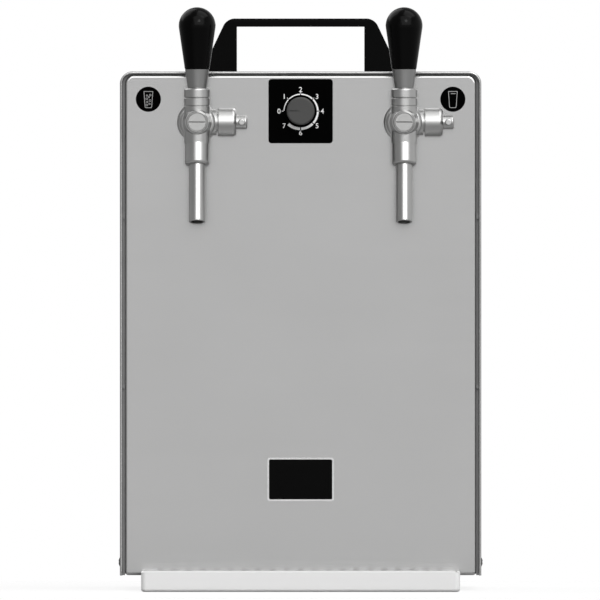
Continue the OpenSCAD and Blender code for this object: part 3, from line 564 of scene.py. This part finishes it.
@dataclass
class FlatPrint:
    """Printed outlines on an upright face that looks toward -Y, drawn in X and Z.

    Attributes:
        centre: the middle of the face.
        lift: the gap between face and ink.
        thick: the thickness of the ink.
        mitre: width of a line as a share of its greatest width at a sharp bend.
        digit_weight: how far a digit's outline is moved out, as a share of the font's size.
        digit_deep: half the depth of a digit before it is scaled to the ink, as such a share.
        digit_steps: straight steps of each curve of a digit.
        shape: the print so far.
    """

    centre: Vector
    lift: float = 0.00001
    thick: float = 0.00006
    mitre: float = 0.5
    digit_weight: float = 0.004
    digit_deep: float = 0.01
    digit_steps: int = 6
    shape: bmesh.types.BMesh = field(default_factory=bmesh.new)

    @classmethod
    def on_front(cls, low: Vector, high: Vector) -> "FlatPrint":
        """An empty print on the front of a box."""
        return cls(Vector(((low.x + high.x) / 2, low.y, (low.z + high.z) / 2)))

    def point(self, flat: Flat, depth: float) -> bmesh.types.BMVert:
        """One corner, in millimetres from the centre.

        Args:
            flat: place across and up.
            depth: distance out of the face in metres.

        Returns:
            The new vertex.
        """
        place = self.centre + Vector((flat[0] * MM, -depth, flat[1] * MM))
        return self.shape.verts.new(place)

    def strip(self, left: Sequence[Flat], right: Sequence[Flat], closed: bool = False) -> None:
        """A thin slab between two edges with as many points each.

        Args:
            left: points of one edge.
            right: points of the other edge.
            closed: whether the last pair joins the first.
        """
        low, high = self.lift, self.lift + self.thick
        rows = [
            [self.point(a, high), self.point(b, high), self.point(b, low), self.point(a, low)]
            for a, b in zip(left, right)
        ]
        count = len(rows)
        for i in range(count if closed else count - 1):
            here, there = rows[i], rows[(i + 1) % count]
            for k in range(4):
                n = (k + 1) % 4
                self.shape.faces.new((here[k], here[n], there[n], there[k]))
        if not closed:
            self.shape.faces.new(rows[0])
            self.shape.faces.new(rows[-1])

    def stroke(self, path: Sequence[Flat], wide: float, closed: bool = False) -> None:
        """A line of even width along a path.

        Args:
            path: the middle of the line.
            wide: its width in millimetres.
            closed: whether it joins up.
        """
        left, right = [], []
        count = len(path)
        for i, spot in enumerate(path):
            before = path[(i - 1) % count] if closed or i else spot
            after = path[(i + 1) % count] if closed or i < count - 1 else spot
            run_in = Vector(spot) - Vector(before)
            run_out = Vector(after) - Vector(spot)
            way = (run_in.normalized() + run_out.normalized()).normalized()
            side = Vector((-way.y, way.x))
            edge = run_in if run_in.length > 0 else run_out
            normal = Vector((-edge.y, edge.x)).normalized()
            reach = wide / 2 / max(self.mitre, abs(side.dot(normal)))
            left.append((spot[0] + side.x * reach, spot[1] + side.y * reach))
            right.append((spot[0] - side.x * reach, spot[1] - side.y * reach))
        self.strip(left, right, closed)

    def ring(self, at: Flat, radius: float, wide: float, count: int = 20) -> None:
        """A round line.

        Args:
            at: its centre.
            radius: its mean radius in millimetres.
            wide: its width in millimetres.
            count: its number of corners.
        """
        turns = [2 * math.pi * i / count for i in range(count)]
        path = [(at[0] + radius * math.cos(t), at[1] + radius * math.sin(t)) for t in turns]
        self.stroke(path, wide, True)

    def digit(self, sign: str, at: Flat, high: float) -> None:
        """An upright digit.

        Args:
            sign: the digit.
            at: its centre.
            high: its height in millimetres.
        """
        outline = self.digit_mesh(sign)
        corners = [vertex.co for vertex in outline.vertices]
        low, top = extent(corners)
        middle = (low + top) / 2
        scale = high * MM / (top.y - low.y)
        deep = self.thick / (top.z - low.z)
        spots = []
        for c in corners:
            across = Vector(((c.x - middle.x) * scale, 0, (c.y - middle.y) * scale))
            out = self.lift + (c.z - low.z) * deep
            place = self.centre + Vector((at[0] * MM, -out, at[1] * MM)) + across
            spots.append(self.shape.verts.new(place))
        for face in outline.polygons:
            self.shape.faces.new([spots[i] for i in face.vertices])
        bpy.data.meshes.remove(outline)

    def digit_mesh(self, sign: str) -> bpy.types.Mesh:
        """A digit as a thick flat mesh of the font's own size.

        Args:
            sign: the digit.

        Returns:
            A plain mesh of its own.
        """
        letter = bpy.data.curves.new("digit", "FONT")
        letter.body = sign
        letter.align_x = "CENTER"
        letter.size = 1.0
        letter.offset = self.digit_weight
        letter.extrude = self.digit_deep
        letter.resolution_u = self.digit_steps
        holder = add_object("digit", letter)
        bpy.context.view_layer.update()
        outline = applied(holder)
        bpy.data.objects.remove(holder)
        bpy.data.curves.remove(letter)
        return outline

    def piece(self, name: str, finish: Finish) -> bpy.types.Object:
        """The finished print.

        Args:
            name: the piece's name.
            finish: its ink.

        Returns:
            The object.
        """
        bmesh.ops.remove_doubles(self.shape, verts=self.shape.verts, dist=PRINT_WELD)
        bmesh.ops.recalc_face_normals(self.shape, faces=self.shape.faces)
        mesh = bpy.data.meshes.new(name)
        self.shape.to_mesh(mesh)
        self.shape.free()
        mesh.materials.append(finish.material())
        return add_object(name, mesh)


@dataclass
class ScrewRow:
    """Domed screws with a cross recess, one tree of nodes for all of them.

    Attributes:
        RECESS_REACH: length of each bar of the cross, as a share of the head's radius.
        HEAD_CORNERS: corners round the head.
        DOME_RINGS: rings of the ball that domes the head.
        SHAFT_CORNERS: corners round the shaft.
        head_r: radius of the head, in millimetres, as the other sizes.
        head_h: height of the head.
        shaft_r: radius of the shaft.
        shaft_len: length of the shaft.
        recess_w: width of each bar of the cross.
        recess_d: depth of the cross.
    """

    RECESS_REACH: ClassVar[float] = 1.15
    HEAD_CORNERS: ClassVar[int] = 40
    DOME_RINGS: ClassVar[int] = 48
    SHAFT_CORNERS: ClassVar[int] = 24
    head_r: float
    head_h: float
    shaft_r: float
    shaft_len: float
    recess_w: float = 0.9
    recess_d: float = 0.9

    def tree(self) -> bpy.types.NodeTree:
        """The node tree, made at the first call."""
        group = bpy.data.node_groups.get("domed_screws")
        if group is not None:
            return group
        group = bpy.data.node_groups.new("domed_screws", "GeometryNodeTree")
        face = group.interface
        face.new_socket("Points", in_out="INPUT", socket_type="NodeSocketGeometry")
        for name in ("Head radius", "Head height", "Shaft radius", "Shaft length",
                     "Recess width", "Recess depth"):
            face.new_socket(name, in_out="INPUT", socket_type="NodeSocketFloat")
        face.new_socket("Finish", in_out="INPUT", socket_type="NodeSocketMaterial")
        face.new_socket("Screws", in_out="OUTPUT", socket_type="NodeSocketGeometry")
        tree = Tree(group)
        start = group.nodes.new("NodeGroupInput")
        given = {s.name: Wire(tree, s) for s in start.outputs if s.name}
        screw = tree.node("GeometryNodeJoinGeometry", sockets={
            "Geometry": [self._head(tree, given), self._shaft(tree, given)],
        })
        facing = tree.node(
            "GeometryNodeInputNamedAttribute", {"data_type": "FLOAT_VECTOR"}, {"Name": "facing"}
        )
        turn = tree.node(
            "FunctionNodeAlignRotationToVector", {"axis": "Z"}, {"Vector": facing}
        )
        copies = tree.node("GeometryNodeInstanceOnPoints", sockets={
            "Points": given["Points"], "Instance": screw, "Rotation": turn,
        })
        real = tree.node("GeometryNodeRealizeInstances", sockets={"Geometry": copies})
        done = tree.node("GeometryNodeSetMaterial", sockets={
            "Geometry": real, "Material": given["Finish"],
        })
        end = group.nodes.new("NodeGroupOutput")
        group.links.new(done.socket, end.inputs["Screws"])
        return group

    def _head(self, tree: Tree, given: dict[str, Wire]) -> Wire:
        """A domed head on z = 0 with a cross cut into it.

        Args:
            tree: the screws' tree.
            given: the tree's inputs by name.

        Returns:
            The head.
        """
        radius, high = given["Head radius"], given["Head height"]
        dome = (radius * radius + high * high) / (2.0 * high)
        ball = self._moved(tree, tree.node("GeometryNodeMeshUVSphere", sockets={
            "Segments": self.HEAD_CORNERS, "Rings": self.DOME_RINGS, "Radius": dome,
        }), high - dome)
        puck = self._moved(tree, tree.node("GeometryNodeMeshCylinder", sockets={
            "Vertices": self.HEAD_CORNERS, "Radius": radius, "Depth": high,
        }), high / 2.0)
        head = tree.node(
            "GeometryNodeMeshBoolean",
            {"operation": "INTERSECT", "solver": "EXACT"},
            {"Mesh 2": [ball, puck]},
        )
        long, wide = radius * self.RECESS_REACH, given["Recess width"]
        deep = given["Recess depth"] * 2.0
        bars = []
        for across, along in ((long, wide), (wide, long)):
            size = tree.node(
                "ShaderNodeCombineXYZ", sockets={"X": across, "Y": along, "Z": deep}
            )
            bar = tree.node("GeometryNodeMeshCube", sockets={"Size": size})
            bars.append(self._moved(tree, bar, high))
        return tree.node(
            "GeometryNodeMeshBoolean",
            {"operation": "DIFFERENCE", "solver": "EXACT"},
            {"Mesh 1": head, "Mesh 2": bars},
        )

    def _shaft(self, tree: Tree, given: dict[str, Wire]) -> Wire:
        """A plain shaft down from z = 0.

        Args:
            tree: the screws' tree.
            given: the tree's inputs by name.

        Returns:
            The shaft.
        """
        radius, length = given["Shaft radius"], given["Shaft length"]
        return self._moved(tree, tree.node("GeometryNodeMeshCylinder", sockets={
            "Vertices": self.SHAFT_CORNERS, "Radius": radius, "Depth": length,
        }), length / -2.0)

    @staticmethod
    def _moved(tree: Tree, shape: Wire, up: Wire) -> Wire:
        """A shape moved up by a wired amount."""
        shift = tree.node("ShaderNodeCombineXYZ", sockets={"Z": up})
        return tree.node(
            "GeometryNodeTransform", sockets={"Geometry": shape, "Translation": shift}
        )

    def piece(self, name: str, tips: Sequence[Tip], finish: Finish) -> bpy.types.Object:
        """Screws at the given places.

        Args:
            name: the piece's name.
            tips: the top of each head and the way it faces.
            finish: the screws' finish.

        Returns:
            One plain mesh object with all the screws.
        """
        mesh = bpy.data.meshes.new(name)
        mesh.from_pydata([tip - way * self.head_h * MM for tip, way in tips], [], [])
        facing = mesh.attributes.new("facing", "FLOAT_VECTOR", "POINT")
        for i, (_, way) in enumerate(tips):
            facing.data[i].vector = way
        made = add_object(name, mesh)
        row = made.modifiers.new("screws", "NODES")
        row.node_group = self.tree()
        values = {
            "Head radius": self.head_r * MM, "Head height": self.head_h * MM,
            "Shaft radius": self.shaft_r * MM, "Shaft length": self.shaft_len * MM,
            "Recess width": self.recess_w * MM, "Recess depth": self.recess_d * MM,
            "Finish": finish.material(),
        }
        for item in row.node_group.interface.items_tree:
            if item.in_out == "INPUT" and item.name in values:
                row[item.identifier] = values[item.name]
        plain = applied(made)
        made.modifiers.clear()
        made.data = plain
        return made


@dataclass
class Casing(Assembly):
    """Sheet-steel casing with its screws, feet and carry handle."""

    cover_screw: ScrewRow = field(default_factory=lambda: ScrewRow(
        head_r=4.25, head_h=1.5, shaft_r=2.0, shaft_len=4.5
    ))
    rear_screw: ScrewRow = field(default_factory=lambda: ScrewRow(
        head_r=3.4, head_h=1.6, shaft_r=1.5, shaft_len=6.0, recess_w=0.8, recess_d=0.8
    ))

    def build(self) -> None:
        """Dresses the sheets and makes the screws."""
        self.dress({
            "base_pan": CASING_STEEL, "rear_panel": CASING_STEEL, "cover_shell": COVER_STEEL,
            "front_panel": PANEL_STEEL, "panel_seal": SEAL_RUBBER, "feet": RUBBER,
            "carry_handle": HANDLE_PLASTIC, "foot_screws": ZINC, "carry_handle_screws": ZINC,
        })
        self.build_screws()

    def build_screws(self) -> None:
        """Makes the screws of the cover and of the rear panel."""
        tips = self.solid_tips("cover_screws", Axis.X)
        made = self.cover_screw.piece("cover_screw_heads", tips, BLACK_OXIDE)
        self.add(made, "black_screw")
        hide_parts("cover_screws")
        tips = self.solid_tips("rear_screws", Axis.Y)
        made = self.rear_screw.piece("rear_screw_heads", tips, ZINC)
        self.add(made, "zinc_screw")
        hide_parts("rear_screws")

    @staticmethod
    def solid_tips(node: str, axis: Axis) -> list[Tip]:
        """The outermost point along an axis of each separate solid of a node.

        Args:
            node: the node's name.
            axis: X, where the solid's own side is outermost, or Y, where the rear is.

        Returns:
            For each solid the point on its middle line and the way out.
        """
        shape = bmesh.new()
        shape.from_mesh(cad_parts[node].data)
        bmesh.ops.remove_doubles(shape, verts=shape.verts, dist=SOLID_WELD)
        k = axis.value
        tips = []
        for corners in islands(shape):
            low, high = extent(corners)
            tip, way = (low + high) / 2, Vector((0.0, 0.0, 0.0))
            outward = axis is Axis.Y or high[k] > 0
            tip[k] = high[k] if outward else low[k]
            way[k] = 1.0 if outward else -1.0
            tips.append((tip, way))
        shape.free()
        return tips


@dataclass
class Thermostat(Assembly):
    """Dial plate with its printed scale, the knob and the switch behind it.

    Attributes:
        arc_in: inner radius of the arc, in millimetres, as the other sizes.
        arc_out: outer radius of the arc at its first and last mark.
        swell: how late the arc widens.
        arc_steps: straight steps of the arc between two marks.
        step: degrees between two marks.
        last: the last mark.
        gap: degrees that the arc stops short of each mark.
        ticked: number of marks that have a tick outside the arc.
        tick_gap: distance from the arc to its ticks.
        tick_end: outer radius of the ticks.
        tick_w: width of the ticks.
        digit_r: radius on which the digits stand.
        digit_h: height of the digits.
        digit_shift: how far digits between the main axes stand out and in.
    """

    arc_in: float = 13.2
    arc_out: Span = (13.85, 15.7)
    swell: float = 1.3
    arc_steps: int = 12
    step: float = 45.0
    last: int = 7
    gap: float = 1.6
    ticked: int = 5
    tick_gap: float = 0.1
    tick_end: float = 15.4
    tick_w: float = 0.45
    digit_r: float = 17.6
    digit_h: float = 4.0
    digit_shift: Flat = (0.9, 0.5)

    def build(self) -> None:
        """Dresses the solids and prints the scale."""
        self.dress({
            "thermostat_plate": DIAL_FILM,
            "thermostat_body": SWITCH_PLASTIC,
            "thermostat_knob": KNOB_PLASTIC,
        })
        self.add(self.scale_print(), "dial_black")

    def spot(self, radius: float, mark: float) -> Flat:
        """A point at a mark: 0 lies to the left and the rest follow clockwise."""
        turn = math.radians(180.0 - self.step * mark)
        return radius * math.cos(turn), radius * math.sin(turn)

    def outer(self, mark: float) -> float:
        """The outer radius of the widening arc at a mark."""
        low, high = self.arc_out
        return low + (high - low) * (mark / self.last) ** self.swell

    def digit_spot(self, mark: int) -> Flat:
        """The centre of a digit; those between the main axes stand a little wider and flatter."""
        x, z = self.spot(self.digit_r, mark)
        if mark % 2:
            x += math.copysign(self.digit_shift[0], x)
            z -= math.copysign(self.digit_shift[1], z)
        return x, z

    def scale_print(self) -> bpy.types.Object:
        """Prints the widening arc, its ticks and the digits.

        Returns:
            The printed piece.
        """
        printed = FlatPrint.on_front(*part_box("thermostat_plate"))
        short = self.gap / self.step
        for mark in range(self.last):
            stops = [
                mark + short + (1 - 2 * short) * i / self.arc_steps
                for i in range(self.arc_steps + 1)
            ]
            printed.strip(
                [self.spot(self.outer(stop), stop) for stop in stops],
                [self.spot(self.arc_in, stop) for stop in stops],
            )
        for mark in range(self.last + 1):
            if mark < self.ticked:
                ends = (self.outer(mark) + self.tick_gap, self.tick_end)
                printed.stroke([self.spot(end, mark) for end in ends], self.tick_w)
            printed.digit(str(mark), self.digit_spot(mark), self.digit_h)
        return printed.piece("dial_scale_print", WHITE_INK)


@dataclass
class Signs(Assembly):
    """Bare name plate in its frame and the two round badges with a glass on each.

    Attributes:
        top_half: half the width of the glass at its rim, in millimetres, as the other sizes.
        foot_half: half its width at the foot.
        top_z: height of the rim over the badge's centre.
        foot_z: height of the foot.
        foot_r: radius of the foot's corners.
        side_steps: straight steps of each side.
        foot_steps: straight steps of each of the foot's corners.
        line: width of the outline.
        water_x: the line of still water, from its left end to its right end.
        water_z: its height.
        bubble_line: width of a bubble's outline.
        bubbles: across, up and radius of each bubble of sparkling water.
    """

    top_half: float = 3.6
    foot_half: float = 2.7
    top_z: float = 6.3
    foot_z: float = -6.9
    foot_r: float = 0.9
    side_steps: int = 8
    foot_steps: int = 4
    line: float = 0.45
    water_x: tuple[float, ...] = (-1.6, 0.0, 2.2)
    water_z: float = 4.5
    bubble_line: float = 0.34
    bubbles: tuple[tuple[float, float, float], ...] = (
        (-1.2, -4.7, 0.75), (0.9, -3.8, 0.6), (-0.9, -2.2, 0.6), (1.3, -1.1, 0.8),
        (-1.4, 0.3, 0.75), (0.4, 1.7, 0.6), (-1.2, 3.0, 0.55), (1.5, 3.4, 0.7),
    )

    def build(self) -> None:
        """Dresses the plates and prints the badges."""
        self.dress({
            "name_plate": PLATE_GLOSS, "name_plate_frame": FRAME_METAL,
            "left_badge": BADGE_FILM, "right_badge": BADGE_FILM,
        })
        for side in Side:
            self.add(self.badge_print(side), "badge_black")

    def glass(self) -> list[Flat]:
        """The closed outline of a tapered glass with a soft foot.

        Returns:
            Its points, from the right end of the rim round the foot to the left end.
        """
        bend_x, bend_z = self.foot_half - self.foot_r, self.foot_z + self.foot_r
        right = []
        for i in range(self.side_steps):
            share = i / self.side_steps
            half = self.top_half + (self.foot_half - self.top_half) * share
            right.append((half, self.top_z + (bend_z - self.top_z) * share))
        for i in range(self.foot_steps + 1):
            turn = math.radians(-90.0 * i / self.foot_steps)
            right.append((
                bend_x + self.foot_r * math.cos(turn), bend_z + self.foot_r * math.sin(turn)
            ))
        return right + [(-x, z) for x, z in reversed(right)]

    def badge_print(self, side: Side) -> bpy.types.Object:
        """Prints a glass on a badge, with bubbles for sparkling or a line for still water.

        Args:
            side: the badge's side.

        Returns:
            The printed piece.
        """
        printed = FlatPrint.on_front(*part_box(side.value + "_badge"))
        printed.stroke(self.glass(), self.line, True)
        if side is Side.LEFT:
            for x, z, radius in self.bubbles:
                printed.ring((x, z), radius, self.bubble_line)
        else:
            printed.stroke([(x, self.water_z) for x in self.water_x], self.line)
        return printed.piece(side.value + "_badge_print", GREY_INK)


@dataclass
class Tap(Assembly):
    """One lever tap with its valve, outlet and flow regulator."""

    side: Side = Side.LEFT

    def build(self) -> None:
        """Dresses the pieces of the tap."""
        finishes = {
            "tap_flange": TAP_METAL, "tap_body": TAP_METAL, "tap_bonnet": TAP_METAL,
            "tap_cap": CAP_METAL, "tap_spout": TAP_METAL, "tap_shank": TAP_METAL,
            "regulator_nut": TAP_METAL, "regulator_spindle": TAP_METAL,
            "tap_lever": FERRULE_METAL, "tap_grip": GRIP_PLASTIC,
            "tap_piston": BRASS, "tap_back_nut": BRASS, "tap_seal": RUBBER,
        }
        self.dress({f"{self.side.value}_{piece}": finishes[piece] for piece in finishes})


@dataclass
class DripTray(Assembly):
    """Moulded tray and its slotted grid."""

    def build(self) -> None:
        """Dresses the tray and the grid."""
        self.dress({"drip_tray": TRAY_PLASTIC, "drip_grid": GRID_STEEL})


@dataclass
class CoolingGear(Assembly):
    """Everything behind the panels, with the fittings at the rear."""

    def build(self) -> None:
        """Dresses the gear inside the casing and at the rear."""
        self.dress({
            "cooler_shelf": CASING_STEEL, "insulation_box": JACKET_FOAM,
            "insulation_lid": JACKET_FOAM, "cooling_block": ALUMINIUM,
            "beverage_lines": LINE_STEEL, "compressor_mounts": RUBBER,
            "condenser": ALUMINIUM, "fan_frame": FAN_PLASTIC, "fan_rotor": FAN_PLASTIC,
            "compressor": COMPRESSOR_PAINT, "refrigerant_lines": COPPER,
            "inlet_fittings": LINE_STEEL, "inlet_nuts": BRASS, "power_inlet": SOCKET_PLASTIC,
        })


@dataclass(frozen=True)
class Lamp:
    """A soft square lamp that looks at the taps.

    Attributes:
        name: its name.
        azimuth: degrees to the right of the camera.
        height: degrees above the level of the taps.
        half: half its width as seen from the taps, in degrees.
        glow: brightness of its face, where 1 is white.
    """

    name: str
    azimuth: float
    height: float
    half: float
    glow: float

    def hang(self, aim: Vector, away: float) -> None:
        """Hangs the lamp.

        Args:
            aim: the point that it looks at.
            away: its distance from that point, in metres.
        """
        light = bpy.data.lights.new(self.name, "AREA")
        light.size = 2 * away * math.tan(math.radians(self.half))
        light.energy = self.glow * math.pi * light.size * light.size
        made = add_object(self.name, light)
        turn, rise = math.radians(self.azimuth), math.radians(self.height)
        level = Vector((math.sin(turn), -math.cos(turn), 0.0))
        way = level * math.cos(rise) + Vector((0.0, 0.0, math.sin(rise)))
        made.location = aim + way * away
        made.rotation_euler = way.to_track_quat("Z", "Y").to_euler()


@dataclass
class Studio:
    """Pale floor, soft lamps, world light and the camera.

    A span says where a change begins and is full, as parts of a unit direction.

    Attributes:
        lamps: the lamps.
        lamp_aim: the point between the taps that they look at.
        lamp_away: their distance from it.
        front: brightness of the room behind the camera, where 1 is white.
        left: its brightness on the left.
        right: its brightness on the right.
        zenith: its brightness overhead.
        nadir: its brightness below.
        front_span: span of the front, toward the camera.
        side_span: span from left to right.
        high_span: span of the brightness overhead, upward.
        deep_span: span of the brightness below, downward.
        back_span: span of the white ground that metal mirrors, away from the camera.
        floor_r: radius of the floor.
        floor_corners: corners round the floor.
        floor_drop: how far the floor lies under the feet.
        floor_fade: where the floor begins and ends to fade, as shares of its radius.
        floor_bounce: its colour for the light that it throws back.
        floor_seen: its colour for the camera.
        floor_clear: how far the camera looks through it, so that its shadow is faint.
        floor_mirrored: how much of the pale ground metal mirrors from below.
        aim: the point that the camera looks at.
        distance: the camera's distance from it.
        sensor: width of the camera's sensor, in millimetres.
        lens: its focal length, in millimetres.
    """

    lamps: tuple[Lamp, ...] = (
        Lamp("key_lamp", azimuth=14.0, height=35.0, half=30.0, glow=1.7),
        Lamp("core_lamp", azimuth=14.0, height=30.0, half=6.0, glow=9.0),
        Lamp("top_lamp", azimuth=80.0, height=67.0, half=22.0, glow=1.9),
        Lamp("rim_lamp", azimuth=-134.0, height=41.0, half=24.0, glow=1.4),
    )
    lamp_aim: Vector = field(default_factory=lambda: Vector((0.0, -0.12, 0.36)))
    lamp_away: float = 30.0
    front: float = 0.78
    left: float = 0.35
    right: float = 0.73
    zenith: float = 0.36
    nadir: float = 0.08
    front_span: Span = (0.75, 0.97)
    side_span: Span = (-0.5, 0.8)
    high_span: Span = (0.25, 0.8)
    deep_span: Span = (0.02, 0.6)
    back_span: Span = (0.93, 0.99)
    floor_r: float = 0.75
    floor_corners: int = 96
    floor_drop: float = 0.0002
    floor_fade: Span = (0.55, 0.98)
    floor_bounce: Rgb = grey(0.16)
    floor_seen: Rgb = grey(0.86)
    floor_clear: float = 0.88
    floor_mirrored: float = 0.33
    aim: Vector = field(default_factory=lambda: Vector((-0.0005, -0.16, 0.2361)))
    distance: float = 22.0
    sensor: float = 36.0
    lens: float = 1627.0

    def build(self) -> None:
        """Makes the whole setting."""
        scene = bpy.context.scene
        scene.view_settings.view_transform = "Standard"
        self.build_world(scene)
        self.build_floor()
        for lamp in self.lamps:
            lamp.hang(self.lamp_aim, self.lamp_away)
        self.build_camera(scene)

    def build_world(self, scene: bpy.types.Scene) -> None:
        """A grey room, lightest in front and on the right, dim overhead and dark below.

        The camera and what looks through glass see white instead. So does metal
        toward the ground behind the cooler, and in part toward the ground below it.

        Args:
            scene: the scene to light.
        """
        world = bpy.data.worlds.new("grey_room")
        scene.world = world
        world.use_nodes = True
        world.node_tree.nodes.clear()
        tree = ShaderTree(world.node_tree)
        way = tree.node("ShaderNodeTexCoord", out="Generated")
        across = tree.node("ShaderNodeSeparateXYZ", sockets={"Vector": way}, out="X")
        ahead, up = across.output("Y"), across.output("Z")
        sides = across.smooth(*self.side_span) * (self.right - self.left) + self.left
        facing = (-1.0 * ahead).smooth(*self.front_span)
        level = facing * self.front + (1 - facing) * sides
        high = up.smooth(*self.high_span)
        deep = (-1.0 * up).smooth(*self.deep_span)
        room = level * (1 - high) * (1 - deep) + high * self.zenith + deep * self.nadir
        camera = tree.node("ShaderNodeLightPath", out="Is Camera Ray")
        glass, metal = camera.output("Is Transmission Ray"), camera.output("Is Glossy Ray")
        ground = ahead.smooth(*self.back_span).larger(deep * self.floor_mirrored)
        white = camera.larger(glass).larger(metal * ground)
        strength = room * (1 - white) + white
        glow = tree.node("ShaderNodeBackground", sockets={
            "Color": (*grey(1.0), 1.0), "Strength": strength,
        })
        tree.end("ShaderNodeOutputWorld", glow)

    def build_floor(self) -> None:
        """A round floor under the feet."""
        shape = bmesh.new()
        bmesh.ops.create_circle(
            shape, cap_ends=True, segments=self.floor_corners, radius=self.floor_r
        )
        mesh = bpy.data.meshes.new("floor")
        shape.to_mesh(mesh)
        shape.free()
        mesh.transform(Matrix.Translation((0.0, 0.0, -self.floor_drop)))
        mesh.materials.append(self.floor_paint())
        add_object("floor", mesh)

    def floor_paint(self) -> bpy.types.Material:
        """Paint that fades into the white ground and shows the camera a faint shadow.

        Returns:
            The floor's material.
        """
        paint = bpy.data.materials.new("floor_paint")
        paint.use_nodes = True
        paint.node_tree.nodes.clear()
        tree = ShaderTree(paint.node_tree)
        away = tree.node(
            "ShaderNodeVectorMath", {"operation": "LENGTH"}, {0: tree.coords()}, out="Value"
        )
        fade = away.smooth(*(share * self.floor_r for share in self.floor_fade))
        camera = tree.node("ShaderNodeLightPath", out="Is Camera Ray")
        pale = camera.larger(camera.output("Is Glossy Ray") * self.floor_mirrored)
        color = tree.blend(pale, self.floor_bounce, self.floor_seen)
        matt = tree.node("ShaderNodeBsdfDiffuse", sockets={"Color": color})
        clear = tree.node("ShaderNodeBsdfTransparent")
        hidden = fade.larger(camera * self.floor_clear)
        both = tree.node("ShaderNodeMixShader", sockets={0: hidden, 1: matt, 2: clear})
        tree.end("ShaderNodeOutputMaterial", both)
        return paint

    def build_camera(self, scene: bpy.types.Scene) -> None:
        """A level camera far in front with a long lens.

        Args:
            scene: the scene that gets the camera.
        """
        data = bpy.data.cameras.new("camera")
        data.sensor_width = self.sensor
        data.lens = self.lens
        data.clip_end = 2.0 * self.distance
        made = add_object("camera", data)
        made.location = self.aim - Vector((0.0, self.distance, 0.0))
        made.rotation_euler = (math.pi / 2, 0.0, 0.0)
        scene.camera = made


def main() -> None:
    """Builds the sub-assemblies in order, then the studio."""
    logging.basicConfig(level=logging.INFO, format="%(name)s: %(message)s")
    assemblies: list[Assembly] = [
        Casing(), Thermostat(), Signs(), Tap(side=Side.LEFT), Tap(side=Side.RIGHT), DripTray(),
        CoolingGear(),
    ]
    for assembly in assemblies:
        assembly.build()
        LOG.info("finished %s", type(assembly).__name__)
    Studio().build()


if __name__ == "__main__":
    main()
